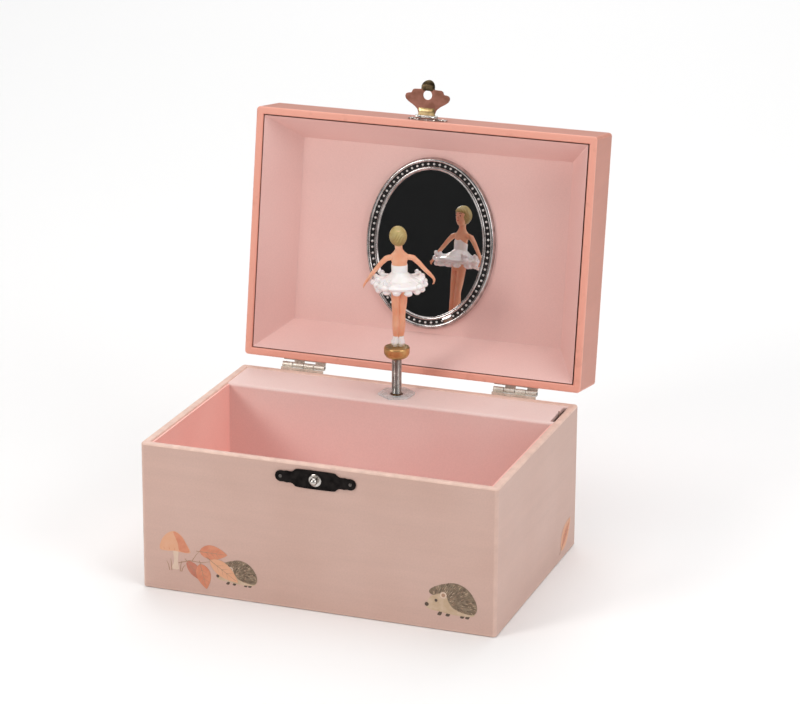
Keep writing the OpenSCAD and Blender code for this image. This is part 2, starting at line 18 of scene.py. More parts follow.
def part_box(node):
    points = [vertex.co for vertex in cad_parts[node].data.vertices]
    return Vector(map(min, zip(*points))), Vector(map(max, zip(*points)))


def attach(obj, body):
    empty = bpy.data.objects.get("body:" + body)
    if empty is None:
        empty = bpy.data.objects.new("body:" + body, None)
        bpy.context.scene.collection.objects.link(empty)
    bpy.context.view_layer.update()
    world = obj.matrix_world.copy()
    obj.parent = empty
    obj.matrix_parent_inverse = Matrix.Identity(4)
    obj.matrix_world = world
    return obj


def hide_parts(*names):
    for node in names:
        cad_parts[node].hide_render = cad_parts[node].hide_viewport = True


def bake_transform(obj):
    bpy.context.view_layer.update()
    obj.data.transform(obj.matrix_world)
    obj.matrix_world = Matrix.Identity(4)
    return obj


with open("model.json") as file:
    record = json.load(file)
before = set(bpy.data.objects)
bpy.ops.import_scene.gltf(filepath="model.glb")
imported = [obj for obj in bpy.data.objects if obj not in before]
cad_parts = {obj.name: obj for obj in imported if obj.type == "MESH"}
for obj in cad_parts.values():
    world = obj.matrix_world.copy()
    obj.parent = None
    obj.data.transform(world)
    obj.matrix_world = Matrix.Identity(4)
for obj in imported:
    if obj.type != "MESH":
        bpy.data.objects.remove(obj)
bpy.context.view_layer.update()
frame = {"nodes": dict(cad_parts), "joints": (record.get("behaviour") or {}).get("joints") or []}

LOG = logging.getLogger("jewellery_box")
MM = 0.001
LID_OPEN_DEG = 98.8
Pair = tuple[float, float]
Mesh = tuple[list, list]
Piece = bpy.types.Object
Tree = bpy.types.NodeTree
Node = bpy.types.Node
Socket = bpy.types.NodeSocket
Layers = tuple[Socket, Socket, float]
WELD_M = 2e-6


# ------------------------------------------------------------------ measures

def linear(hex_colour: str) -> tuple[float, float, float, float]:
    """Turns an sRGB hex colour into linear light.

    Args:
        hex_colour: the colour, as # and six digits.

    Returns:
        Red, green, blue and a full alpha.
    """
    parts = [int(hex_colour[i:i + 2], 16) / 255 for i in (1, 3, 5)]
    out = [c / 12.92 if c <= 0.04045 else ((c + 0.055) / 1.055) ** 2.4 for c in parts]
    return out[0], out[1], out[2], 1.0


def centre_of(node: str) -> Vector:
    """Middle of a CAD node's box at rest."""
    low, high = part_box(node)
    return (low + high) / 2


def hinge_line(name: str) -> Vector:
    """A point on the axis of a joint of the record."""
    return Vector(next(j for j in frame["joints"] if j["name"] == name)["pos_m"])


def opened() -> Matrix:
    """Swings a shape modelled in the closed lid to where the lid stands open.

    Returns:
        The turn about the lid's hinge.
    """
    axis = hinge_line("lid_hinge")
    turn = Matrix.Rotation(math.radians(-LID_OPEN_DEG), 4, "X")
    return Matrix.Translation(axis) @ turn @ Matrix.Translation(-axis)


def islands(node: str) -> list[list[Vector]]:
    """Splits a CAD node into its separate lumps.

    Args:
        node: the CAD node.

    Returns:
        The vertices of each lump, from left to right.
    """
    bm = bmesh.new()
    bm.from_mesh(frame["nodes"][node].data)
    bmesh.ops.remove_doubles(bm, verts=bm.verts, dist=WELD_M)
    left, lumps = set(bm.verts), []
    while left:
        edge_of, lump = [left.pop()], []
        while edge_of:
            vert = edge_of.pop()
            lump.append(vert.co.copy())
            for edge in vert.link_edges:
                other = edge.other_vert(vert)
                if other in left:
                    left.remove(other)
                    edge_of.append(other)
        lumps.append(lump)
    bm.free()
    return sorted(lumps, key=lambda lump: (round(sum(v.x for v in lump) / len(lump), 4),
                                           sum(v.z for v in lump) / len(lump)))


# ------------------------------------------------------------------ meshes

def around(steps: int) -> np.ndarray:
    """Angles spaced evenly round a circle, in radians."""
    return np.linspace(0, math.tau, steps, endpoint=False)


def make_object(name: str, points: Iterable, faces: Sequence, smooth_deg: float = 40.0,
                wear: Sequence[float] | None = None) -> Piece:
    """Builds a mesh object whose faces point outwards.

    Args:
        name: the piece's name.
        points: vertex positions in metres.
        faces: vertex indices of each face.
        smooth_deg: edges sharper than this stay hard.
        wear: how pale or dark each vertex is painted, from 0 to 1, kept as an attribute; on the paper folds
            it is partly scuffing and partly a painted highlight, on the hair painted shade and highlight.

    Returns:
        The object, at the origin.
    """
    mesh = bpy.data.meshes.new(name)
    mesh.from_pydata([tuple(p) for p in points], [], [list(f) for f in faces])
    if wear is not None:
        mesh.attributes.new("wear", "FLOAT", "POINT").data.foreach_set("value", list(wear))
    obj = bpy.data.objects.new(name, mesh)
    bpy.context.scene.collection.objects.link(obj)
    tidy_mesh(obj, smooth_deg)
    if smooth_deg < 90:
        keep_flats_flat(obj)
    return obj


def keep_flats_flat(obj: Piece) -> None:
    """Weighs normals by face area, so that a rolled edge doesn't shade the flat beside it.

    Args:
        obj: the piece.
    """
    weigh = obj.modifiers.new("weigh", "WEIGHTED_NORMAL")
    weigh.keep_sharp = True
    weigh.weight = 100
    apply_modifiers(obj)


def tidy_mesh(obj: Piece, smooth_deg: float = 40.0) -> None:
    """Merges doubles, turns faces outwards and shades the piece smooth.

    Args:
        obj: the piece.
        smooth_deg: edges sharper than this stay hard.
    """
    bm = bmesh.new()
    bm.from_mesh(obj.data)
    bmesh.ops.remove_doubles(bm, verts=bm.verts, dist=1e-6)
    bmesh.ops.recalc_face_normals(bm, faces=bm.faces)
    limit = math.radians(smooth_deg)
    for face in bm.faces:
        face.smooth = True
    for edge in bm.edges:
        edge.smooth = not (len(edge.link_faces) == 2 and edge.calc_face_angle(0) > limit)
    bm.to_mesh(obj.data)
    bm.free()


def loft(rows: Sequence[Sequence], closed: bool = True, caps: bool = False, ring: bool = False) -> Mesh:
    """Joins rows of equal length with quads.

    Args:
        rows: rows of points.
        closed: joins the last point of each row to its first.
        caps: closes the first and the last row with a face each.
        ring: joins the last row to the first.

    Returns:
        Points and faces.
    """
    count = len(rows[0])
    points = [p for row in rows for p in row]
    faces = []
    for i in range(len(rows) if ring else len(rows) - 1):
        a, b = i * count, ((i + 1) % len(rows)) * count
        for j in range(count if closed else count - 1):
            k = (j + 1) % count
            faces.append((a + j, a + k, b + k, b + j))
    if caps:
        faces += [tuple(range(count)), tuple(range((len(rows) - 1) * count, len(rows) * count))]
    return points, faces


def joined(parts: Sequence[Mesh]) -> Mesh:
    """Puts several meshes into one.

    Args:
        parts: the meshes.

    Returns:
        One list of points and one of faces.
    """
    points, faces = [], []
    for part_points, part_faces in parts:
        faces += [tuple(i + len(points) for i in f) for f in part_faces]
        points += part_points
    return points, faces


def rounded_rect(x0: float, x1: float, y0: float, y1: float, r: float, z: float,
                 steps: int = 6) -> list[Vector]:
    """Corner-rounded rectangle.

    Args:
        x0: its left.
        x1: its right.
        y0: its front.
        y1: its back.
        r: radius of its corners.
        z: its height.
        steps: sides of each corner.

    Returns:
        Its points, anticlockwise from the right side.
    """
    out = []
    for cx, cy, start in ((x1 - r, y1 - r, 0), (x0 + r, y1 - r, 90), (x0 + r, y0 + r, 180),
                          (x1 - r, y0 + r, 270)):
        for i in range(steps + 1):
            a = math.radians(start + 90 * i / steps)
            out.append(Vector((cx + r * math.cos(a), cy + r * math.sin(a), z)))
    return out


def turned(profile: Sequence[Pair], steps: int = 64, ring: bool = False) -> Mesh:
    """Turns a profile about the vertical axis.

    Args:
        profile: radius and height of each point.
        steps: sides of the turned shape.
        ring: closes the profile on itself; if not, the ends are capped.

    Returns:
        Points and faces.
    """
    rows = [[Vector((r * math.cos(t), r * math.sin(t), z)) for t in around(steps)]
            for r, z in profile]
    return loft(rows, caps=not ring, ring=ring)


def ball(centre: Sequence[float], radii: Sequence[float], steps: int = 20) -> Mesh:
    """Closed ellipsoid.

    Args:
        centre: its middle.
        radii: its three half-widths.
        steps: points round.

    Returns:
        Points and faces.
    """
    rows = []
    for a in np.linspace(-math.pi / 2 + 0.05, math.pi / 2 - 0.05, steps // 2 + 1):
        rows.append([Vector((centre[0] + radii[0] * math.cos(a) * math.cos(t),
                             centre[1] + radii[1] * math.cos(a) * math.sin(t),
                             centre[2] + radii[2] * math.sin(a)))
                     for t in around(steps)])
    return loft(rows, caps=True)


def tube(path: Sequence[Sequence[float]], radii: Sequence[Pair], steps: int = 20) -> Mesh:
    """Round-ended limb along a path.

    Args:
        path: centres of its sections.
        radii: half-widths of each section, sideways and fore-and-aft.
        steps: points round.

    Returns:
        Points and faces.
    """
    centres = [Vector(p) for p in path]
    tangents = [(centres[min(i + 1, len(centres) - 1)] - centres[max(i - 1, 0)]).normalized()
                for i in range(len(centres))]
    side = Vector((0, 1, 0)).cross(tangents[0])
    side = side.normalized() if side.length > 0.1 else Vector((1, 0, 0))
    rows = []

    def section(centre: Vector, tangent: Vector, wide: float, deep: float) -> list[Vector]:
        """One elliptical section, square to the path.

        Args:
            centre: its middle.
            tangent: the way of the path.
            wide: half-width sideways.
            deep: half-width fore and aft.

        Returns:
            Its points.
        """
        across = (side - tangent * side.dot(tangent)).normalized()
        other = tangent.cross(across)
        return [centre + across * wide * math.cos(t) + other * deep * math.sin(t)
                for t in around(steps)]

    round_end = [(0.95, 0.3), (0.8, 0.6), (0.45, 0.9)]
    for out, keep in round_end:
        wide, deep = radii[0]
        tip = centres[0] - tangents[0] * out * min(wide, deep)
        rows.append(section(tip, tangents[0], wide * keep, deep * keep))
    for centre, tangent, (wide, deep) in zip(centres, tangents, radii):
        rows.append(section(centre, tangent, wide, deep))
    for out, keep in reversed(round_end):
        wide, deep = radii[-1]
        tip = centres[-1] + tangents[-1] * out * min(wide, deep)
        rows.append(section(tip, tangents[-1], wide * keep, deep * keep))
    return loft(rows, caps=True)


def placed(place: Matrix, mesh: Mesh) -> Mesh:
    """Moves a mesh's points by a matrix."""
    return [place @ Vector(p) for p in mesh[0]], mesh[1]


def apply_modifiers(obj: Piece) -> None:
    """Turns the evaluated object into a plain mesh and removes its modifiers.

    Args:
        obj: the piece.
    """
    bpy.context.view_layer.update()
    graph = bpy.context.evaluated_depsgraph_get()
    mesh = bpy.data.meshes.new_from_object(obj.evaluated_get(graph), depsgraph=graph)
    obj.modifiers.clear()
    obj.data = mesh


def cut(obj: Piece, cutter: Mesh) -> None:
    """Cuts a solid out of a piece.

    Args:
        obj: the piece.
        cutter: the solid.
    """
    tool = make_object("cutter", *cutter)
    mod = obj.modifiers.new("cut", "BOOLEAN")
    mod.operation = "DIFFERENCE"
    mod.solver = "EXACT"
    mod.object = tool
    apply_modifiers(obj)
    bpy.data.objects.remove(tool, do_unlink=True)


def fused(obj: Piece, voxel_mm: float, rounds: int) -> Piece:
    """Melts overlapping lumps into one skin, as a mould would.

    Args:
        obj: the piece.
        voxel_mm: size of the smallest detail kept.
        rounds: passes of smoothing.

    Returns:
        The same piece.
    """
    melt = obj.modifiers.new("melt", "REMESH")
    melt.mode = "VOXEL"
    melt.voxel_size = voxel_mm * MM
    smooth = obj.modifiers.new("smooth", "SMOOTH")
    smooth.factor = 0.5
    smooth.iterations = rounds
    apply_modifiers(obj)
    tidy_mesh(obj, 180)
    return obj


def roll_edges(obj: Piece, bevel_mm: float, angle_deg: float = 35.0) -> Piece:
    """Rolls over a piece's edges, as stamping or moulding leaves them.

    Args:
        obj: the piece.
        bevel_mm: width of the rounding.
        angle_deg: only edges sharper than this are rounded.

    Returns:
        The same piece.
    """
    bm = bmesh.new()
    bm.from_mesh(obj.data)
    bmesh.ops.remove_doubles(bm, verts=bm.verts, dist=WELD_M)
    bmesh.ops.dissolve_limit(bm, angle_limit=math.radians(1.5), verts=bm.verts, edges=bm.edges)
    edges = [e for e in bm.edges if len(e.link_faces) == 2 and e.calc_face_angle(0) > math.radians(angle_deg)]
    bmesh.ops.bevel(bm, geom=edges, offset=bevel_mm * MM, offset_type="OFFSET", segments=2, profile=0.6,
                    affect="EDGES", clamp_overlap=True)
    bm.to_mesh(obj.data)
    bm.free()
    tidy_mesh(obj, 50.0)
    keep_flats_flat(obj)
    return obj


def smooth_outline(knots: Sequence[Pair], steps: int = 6) -> list[Pair]:
    """Smooth closed outline through a few knots.

    Args:
        knots: the points that it passes.
        steps: sides between two knots.

    Returns:
        Its points.
    """
    out = []
    count = len(knots)
    for i in range(count):
        p0, p1, p2, p3 = (np.array(knots[(i + k - 1) % count]) for k in range(4))
        for t in np.linspace(0, 1, steps, endpoint=False):
            out.append(tuple(0.5 * (2 * p1 + (p2 - p0) * t + (2 * p0 - 5 * p1 + 4 * p2 - p3) * t * t
                                    + (3 * p1 - p0 - 3 * p2 + p3) * t ** 3)))
    return out


def within(outline: Sequence[Pair], point: Sequence[float]) -> bool:
    """Tests whether a point lies inside a closed outline.

    Args:
        outline: the outline's points.
        point: the point.

    Returns:
        True if it does.
    """
    inside = False
    for (x0, y0), (x1, y1) in zip(outline, list(outline[1:]) + [outline[0]]):
        if (y0 > point[1]) != (y1 > point[1]) and point[0] < x0 + (x1 - x0) * (point[1] - y0) / (y1 - y0):
            inside = not inside
    return inside


def stamped(half: Sequence[Pair], low: float, high: float) -> Mesh:
    """Flat plate, the same on its left and right, whose face looks along z.

    Args:
        half: outline of its right half, from the middle of one edge to the middle of the other.
        low: one face's height.
        high: the other face's height.

    Returns:
        Points and faces.
    """
    knots = list(half) + [(-x, y) for x, y in reversed(half) if x > 0]
    return loft([[Vector((x, y, z)) for x, y in smooth_outline(knots, 4)] for z in (low, high)], caps=True)


def softened_copy(node: str, name: str, bevel_mm: float, angle_deg: float = 35.0) -> Piece:
    """Copies a CAD node with its edges rolled over, as stamping or moulding leaves them.

    Args:
        node: the CAD node, which the copy then replaces.
        name: the new piece's name.
        bevel_mm: width of the rounding.
        angle_deg: only edges sharper than this are rounded.

    Returns:
        The finished copy.
    """
    obj = bpy.data.objects.new(name, frame["nodes"][node].data.copy())
    bpy.context.scene.collection.objects.link(obj)
    roll_edges(obj, bevel_mm, angle_deg)
    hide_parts(node)
    return obj


# ------------------------------------------------------------------ nodes

def add(tree: Tree, kind: str, links: dict | None = None, out: int | str = 0,
        **settings: object) -> Socket:
    """Adds one node with its settings, values and links.

    Args:
        tree: the node tree.
        kind: the node's type name.
        links: a value or a source socket for each input, by name or number.
        out: which output to give back.
        settings: attributes of the node; stops are a colour ramp's places and colours.

    Returns:
        The chosen output socket.
    """
    node = tree.nodes.new(kind)
    stops = settings.pop("stops", ())
    for place, colour in stops[1:-1]:
        node.color_ramp.elements.new(place).color = colour
    for end, stop in ((0, stops[0]), (-1, stops[-1])) if stops else ():
        node.color_ramp.elements[end].position, node.color_ramp.elements[end].color = stop
    for key, value in settings.items():
        setattr(node, key, value)
    for key, value in (links or {}).items():
        if isinstance(value, Socket):
            tree.links.new(value, node.inputs[key])
        else:
            node.inputs[key].default_value = value
    return node.outputs[out]


def per_mm(size_mm: float) -> float:
    """Noise scale whose features measure about size_mm."""
    return 1 / (size_mm * MM)


def grey(value: float) -> tuple[float, float, float, float]:
    """Neutral multiplier for a colour."""
    return value, value, value, 1.0


@dataclass(frozen=True)
class Finish:
    """A real finish: two tones of one colour, its gloss and a slot name."""

    name: str
    slot: str
    colour: str
    second: str
    roughness: float = 0.5
    metallic: float = 0.0
    coat: float = 0.0
    sheen: float = 0.0
    subsurface: float = 0.0
    drift_mm: float = 20.0
    drift_detail: float = 2.0
    drift_spread: Pair = (0.35, 0.65)
    tooth_mm: float = 0.8
    depth_mm: float = 0.02

    def material(self) -> bpy.types.Material:
        """Builds the material at its first use.

        Returns:
            The material.
        """
        found = bpy.data.materials.get(self.name)
        if found:
            return found
        made = bpy.data.materials.new(self.name)
        made.use_nodes = True
        tree = made.node_tree
        shader = tree.nodes["Principled BSDF"]
        for socket, value in (("Roughness", self.roughness), ("Metallic", self.metallic),
                              ("Coat Weight", self.coat),
                              ("Coat Roughness", 0.2), ("Sheen Weight", self.sheen),
                              ("Subsurface Weight", self.subsurface), ("Subsurface Scale", 1.2 * MM)):
            shader.inputs[socket].default_value = value
        place = add(tree, "ShaderNodeTexCoord", out="Object")
        colour, height, depth_mm = self.pattern(tree, shader, place)
        tree.links.new(colour, shader.inputs["Base Color"])
        bump = add(tree, "ShaderNodeBump", {"Height": height, "Distance": depth_mm * MM, "Strength": 0.5})
        tree.links.new(bump, shader.inputs["Normal"])
        return made

    def pattern(self, tree: Tree, shader: Node, place: Socket) -> Layers:
        """Slow drift between the two tones, over a fine tooth.

        Args:
            tree: the material's nodes.
            shader: its surface shader; not used here.
            place: Object coordinates.

        Returns:
            The colour, the height and the height's depth in millimetres.
        """
        drift = add(tree, "ShaderNodeTexNoise", {"Vector": place, "Scale": per_mm(self.drift_mm),
                                                 "Detail": self.drift_detail})
        low, high = self.drift_spread
        colour = add(tree, "ShaderNodeValToRGB", {0: drift},
                     stops=[(low, linear(self.colour)), (high, linear(self.second))])
        tooth = add(tree, "ShaderNodeTexNoise", {"Vector": place, "Scale": per_mm(self.tooth_mm)})
        return colour, tooth, self.depth_mm


@dataclass(frozen=True)
class PrintedPaper(Finish):
    """Matt printed paper glued over board.

    The eye gets a cloudy print with faint level streaks, paper tooth, and pale folds that are partly scuffing
    and partly a painted highlight.
    """

    # Pale colour of the folds: partly scuffed paper, partly a painted highlight.
    worn_and_highlight: str = "#ffffff"
    cloud_mm: float = 48.0
    streak_mm: float = 5.0
    tooth_mm: float = 0.9

    def pattern(self, tree: Tree, shader: Node, place: Socket) -> Layers:
        """Print clouds times streaks times tooth, then the pale folds, partly scuffing and partly a painted
        highlight.

        Args:
            tree: the material's nodes.
            shader: its surface shader, for a roughness that varies.
            place: Object coordinates.

        Returns:
            The colour, the height and the height's depth in millimetres.
        """
        cloud = add(tree, "ShaderNodeTexNoise", {"Vector": place, "Scale": per_mm(self.cloud_mm),
                                                 "Detail": 4.0})
        tone = add(tree, "ShaderNodeValToRGB", {0: cloud},
                   stops=[(0.3, linear(self.colour)), (0.7, linear(self.second))])
        level = add(tree, "ShaderNodeMapping", {"Vector": place, "Scale": (0.08, 0.08, 1.0)})
        streak = add(tree, "ShaderNodeTexNoise", {"Vector": level, "Scale": per_mm(self.streak_mm),
                                                  "Detail": 5.0})
        streaks = add(tree, "ShaderNodeValToRGB", {0: streak}, stops=[(0.3, grey(0.955)), (0.7, grey(1.0))])
        tooth = add(tree, "ShaderNodeTexNoise", {"Vector": place, "Scale": per_mm(self.tooth_mm),
                                                 "Detail": 2.0})
        teeth = add(tree, "ShaderNodeValToRGB", {0: tooth}, stops=[(0.3, grey(0.94)), (0.7, grey(1.0))])
        both = add(tree, "ShaderNodeMix", {0: 1.0, 6: streaks, 7: teeth}, 2, data_type="RGBA",
                   blend_type="MULTIPLY")
        print_ = add(tree, "ShaderNodeMix", {0: 1.0, 6: tone, 7: both}, 2, data_type="RGBA",
                     blend_type="MULTIPLY")
        # Rims and corners marked by the attribute turn pale: partly scuffing, partly a painted highlight.
        wear = add(tree, "ShaderNodeAttribute", out="Fac", attribute_name="wear")
        patchy = add(tree, "ShaderNodeTexNoise", {"Vector": place, "Scale": per_mm(6.0), "Detail": 4.0})
        rub_and_highlight_amount = add(tree, "ShaderNodeMath", {0: wear, 1: add(tree, "ShaderNodeMath", {0: patchy, 1: 1.5},
                                                                operation="MULTIPLY")}, operation="MULTIPLY")
        share = add(tree, "ShaderNodeClamp", {0: rub_and_highlight_amount})
        colour = add(tree, "ShaderNodeMix", {0: share, 6: print_, 7: linear(self.worn_and_highlight)}, 2, data_type="RGBA")
        rough = add(tree, "ShaderNodeMapRange", {0: tooth, 3: self.roughness - 0.06,
                                                 4: self.roughness + 0.08})
        tree.links.new(rough, shader.inputs["Roughness"])
        return colour, tooth, 0.03


@dataclass(frozen=True)
class LiningCard(Finish):
    """Smooth dyed card: a faint felt-like tooth and slow waves where the glue pulled it."""

    wave_mm: float = 40.0
    tooth_mm: float = 0.7

    def pattern(self, tree: Tree, shader: Node, place: Socket) -> Layers:
        """Dye drift and tooth; the height adds the slow waves to the tooth.

        Args:
            tree: the material's nodes.
            shader: its surface shader; not used here.
            place: Object coordinates.

        Returns:
            The colour, the height and the height's depth in millimetres.
        """
        wave = add(tree, "ShaderNodeTexNoise", {"Vector": place, "Scale": per_mm(self.wave_mm),
                                                "Detail": 2.0})
        tone = add(tree, "ShaderNodeValToRGB", {0: wave},
                   stops=[(0.3, linear(self.colour)), (0.7, linear(self.second))])
        tooth = add(tree, "ShaderNodeTexNoise", {"Vector": place, "Scale": per_mm(self.tooth_mm),
                                                 "Detail": 3.0})
        teeth = add(tree, "ShaderNodeValToRGB", {0: tooth}, stops=[(0.3, grey(0.95)), (0.7, grey(1.0))])
        colour = add(tree, "ShaderNodeMix", {0: 1.0, 6: tone, 7: teeth}, 2, data_type="RGBA",
                     blend_type="MULTIPLY")
        height = add(tree, "ShaderNodeMath", {0: wave, 1: 12.0, 2: tooth}, operation="MULTIPLY_ADD")
        return colour, height, 0.03


@dataclass(frozen=True)
class PlatedMetal(Finish):
    """Plated or rolled metal: hairline scratches and a faint smear break up the highlight."""

    scratch_mm: float = 0.3
    smear_mm: float = 4.0

    def pattern(self, tree: Tree, shader: Node, place: Socket) -> Layers:
        """Stretched noise for scratches, slow noise for tarnish.

        Args:
            tree: the material's nodes.
            shader: its surface shader, for a roughness that varies.
            place: Object coordinates.

        Returns:
            The colour, the height and the height's depth in millimetres.
        """
        long = add(tree, "ShaderNodeMapping", {"Vector": place, "Scale": (0.15, 1.0, 1.0)})
        scratch = add(tree, "ShaderNodeTexNoise", {"Vector": long, "Scale": per_mm(self.scratch_mm),
                                                   "Detail": 4.0})
        smear = add(tree, "ShaderNodeTexNoise", {"Vector": place, "Scale": per_mm(self.smear_mm),
                                                 "Detail": 3.0})
        colour = add(tree, "ShaderNodeValToRGB", {0: smear},
                     stops=[(0.35, linear(self.second)), (0.62, linear(self.colour))])
        rough = add(tree, "ShaderNodeMapRange", {0: scratch, 3: self.roughness - 0.05,
                                                 4: self.roughness + 0.1})
        tree.links.new(rough, shader.inputs["Roughness"])
        return colour, scratch, 0.008


@dataclass(frozen=True)
class SilveredGlass(Finish):
    """Silver behind polished glass: a clean mirror, with only its tint drifting a little."""

    def pattern(self, tree: Tree, shader: Node, place: Socket) -> Layers:
        """Slow drift of tint and no height that the eye could find.

        Args:
            tree: the material's nodes.
            shader: its surface shader; not used here.
            place: Object coordinates.

        Returns:
            The colour, the height and the height's depth in millimetres.
        """
        drift = add(tree, "ShaderNodeTexNoise", {"Vector": place, "Scale": per_mm(25.0)})
        colour = add(tree, "ShaderNodeValToRGB", {0: drift},
                     stops=[(0.3, linear(self.colour)), (0.7, linear(self.second))])
        return colour, drift, 0.0002


@dataclass(frozen=True)
class MouldedPlastic(Finish):
    """Moulded or painted plastic: the tooth is a soft orange peel, and the tone drifts slightly."""

    drift_mm: float = 6.0


@dataclass(frozen=True)
class CombedPaint(Finish):
    """Blonde paint over moulded strands, with painted shade in the furrows and a painted highlight on the
    ridges and towards the crown.
    """

    # Colour of the painted shade in the furrows.
    groove: str = "#806a38"

    def pattern(self, tree: Tree, shader: Node, place: Socket) -> Layers:
        """The attribute of painted shade and highlight picks the tone; noise breaks it up.

        Args:
            tree: the material's nodes.
            shader: its surface shader; not used here.
            place: Object coordinates.

        Returns:
            The colour, the height and the height's depth in millimetres.
        """
        # Painted shade in the furrows, painted highlight on the ridges and crown.
        furrow_and_crown_light = add(tree, "ShaderNodeAttribute", out="Fac", attribute_name="wear")
        blot = add(tree, "ShaderNodeTexNoise", {"Vector": place, "Scale": per_mm(3.0), "Detail": 3.0})
        mixed = add(tree, "ShaderNodeMath", {0: blot, 1: 0.5, 2: add(
            tree, "ShaderNodeMath", {0: furrow_and_crown_light, 1: 0.6}, operation="MULTIPLY")}, operation="MULTIPLY_ADD")
        colour = add(tree, "ShaderNodeValToRGB", {0: mixed}, stops=[
            (0.2, linear(self.groove)), (0.5, linear(self.colour)), (0.85, linear(self.second))])
        return colour, add(tree, "ShaderNodeTexNoise", {"Vector": place, "Scale": per_mm(0.7)}), 0.03


@dataclass(frozen=True)
class PrintInk(Finish):
    """Watercolour-like print: ink that pools unevenly, with the paper's tooth showing."""

    drift_mm: float = 3.0
    drift_detail: float = 4.0
    drift_spread: Pair = (0.36, 0.64)
    tooth_mm: float = 0.9
    depth_mm: float = 0.03


# Matt dusty-pink wrap of the case; its folds are pale cream, partly scuffing and partly a painted highlight.
CASE_PAPER = PrintedPaper("printed_paper_case", "case_paper", "#d0ab9d", "#d6b3a6", 0.5, coat=0.1,
                          worn_and_highlight="#efcdbd")
# The lid's coral wrap, a little deeper; its rims are pale salmon, partly scuffing and partly a painted
# highlight.
LID_PAPER = PrintedPaper("coral_paper_lid", "lid_paper", "#d38d7a", "#cb8571", 0.48, coat=0.1, worn_and_highlight="#f0a894")
# Plain brownish paper under the box.
UNDERSIDE = PrintedPaper("plain_paper_underside", "case_paper", "#b99a8b", "#b08f80", 0.7, worn_and_highlight="#c9ab9c")
# The case's side lining, warmer than the rest, dead matt.
CARD_CORAL = LiningCard("coral_card_sides", "lining_card", "#fdcabf", "#fbc3b8", 0.6)
# The lining of the front and the floor.
CARD_PINK = LiningCard("pink_card_lining", "lining_card", "#f5bcb5", "#f2b5ae", 0.6)
# The platform's card, the palest of the cards.
CARD_PALE = LiningCard("pale_pink_card", "lining_card", "#f2d8d2", "#f0d1cb", 0.6)
# The pressed tray of the lid, a dusty rose.
CARD_LID = LiningCard("rose_card_lid", "lining_card", "#f0c9c2", "#edc2bb", 0.6)
# Bright nickel plate with hairlines: screws, nails, mount and key.
NICKEL = PlatedMetal("nickel_plated_steel", "nickel_plate", "#d2cec9", "#aca69f", 0.18, 1.0)
# Brushed nickel of the post's plate: a cool pale grey that mirrors little.
SATIN_NICKEL = PlatedMetal("satin_nickel_plate", "nickel_plate", "#e3eaeb", "#cdd3d4", 0.26, 0.5)
# Tumbled plate of the hinges: creamy, with soft highlights.
HINGE_NICKEL = PlatedMetal("tumbled_hinge_nickel", "nickel_plate", "#e2dbd0", "#c9c1b5", 0.26, 0.5)
# Black-nickel plate of the keeper, dark with a dull shine.
DARK_NICKEL = PlatedMetal("smoked_nickel_plate", "nickel_plate", "#262322", "#151313", 0.3, 1.0)
# The hasp's bent neck, where the plate is worn to brass.
AGED_BRASS = PlatedMetal("rubbed_brass", "nickel_plate", "#d3b988", "#a0865a", 0.3, 1.0)
# The hasp's thumb lip: tarnished, nearly black.
SMOKED_BRASS = PlatedMetal("smoked_brass", "nickel_plate", "#5d4f3a", "#332a1e", 0.26, 1.0)
# The hasp's face: nickel whose brown-pink is a painted reflection of the pink box, with smears.
PINK_REFLECTION_NICKEL = PlatedMetal("copper_flashed_nickel", "nickel_plate", "#a87465", "#8f6152", 0.34, 1.0)
# Drawn wire of the post's spring and the comb, bright grey.
SPRING_STEEL = PlatedMetal("drawn_spring_steel", "steel_wire", "#c6c3bf", "#9c9793", 0.22, 1.0)
# Grey steel pins with an oily shine.
OILED_STEEL = PlatedMetal("oiled_steel", "steel_wire", "#6f6a66", "#514d4a", 0.32, 1.0)
# Die-cast movement frame: dull, with a coarse skin.
ZINC = PlatedMetal("die_cast_zinc", "movement_zinc", "#b3b0a8", "#8f8c85", 0.42, 1.0, scratch_mm=0.7)
# Turned brass wheels and barrel.
BRASS = PlatedMetal("turned_brass", "movement_brass", "#c9a24e", "#a37f38", 0.25, 1.0)
# The dancer's cup: plated plastic, an old gold with a soft shine.
GOLD = PlatedMetal("gold_plated_plastic", "gold_plastic", "#d2ac74", "#a68352", 0.34, 1.0, smear_mm=9.0)
# The mirror's frame: bright plating over moulded plastic.
FRAME_SILVER = PlatedMetal("vacuum_plated_plastic", "silver_plastic", "#c9c7c6", "#a19d9b", 0.16, 1.0)
# The frame's beads, a satin silver that catches the light as dots.
BEAD_SILVER = PlatedMetal("satin_silver_beads", "silver_plastic", "#f2f1ef", "#e4e2e0", 0.4, 0.6)
# The glass: a clean reflection, hardly tinted.
MIRROR = SilveredGlass("silvered_glass", "mirror_silvering", "#dfe1e2", "#d8dadb", 0.005, 1.0)
# Black enamel in the frame's channel, which sets off the beads.
CHANNEL_BLACK = MouldedPlastic("black_enamel", "black_plastic", "#0b0a0a", "#120f0f", 0.25, coat=0.4)
# Black backing and fly: matt, moulded.
BLACK_PLASTIC = MouldedPlastic("black_abs", "black_plastic", "#131212", "#1a1818", 0.5)
# Glossy white paint of the dress and shoes, slightly soft to the light.
WHITE_GLOSS = MouldedPlastic("white_gloss_paint", "white_plastic", "#f4f1f0", "#faf8f7", 0.25, coat=0.5,
                             subsurface=0.1)
# Skin-coloured vinyl: light sinks in a little.
SKIN = MouldedPlastic("skin_tone_vinyl", "skin_plastic", "#eaa682", "#f0b694", 0.4, subsurface=0.15)
# Brown paint of the eyes and brows.
FEATURE_INK = MouldedPlastic("face_paint_brown", "hair_plastic", "#4a3022", "#553729", 0.4)
# Coral paint of the mouth.
LIP_INK = MouldedPlastic("face_paint_coral", "skin_plastic", "#c95f54", "#bf554b", 0.35)
# Blonde paint, with painted shade in the combed furrows and a painted highlight on the ridges and crown.
HAIR = CombedPaint("blonde_paint", "hair_plastic", "#9f884b", "#cdb97f", 0.38)
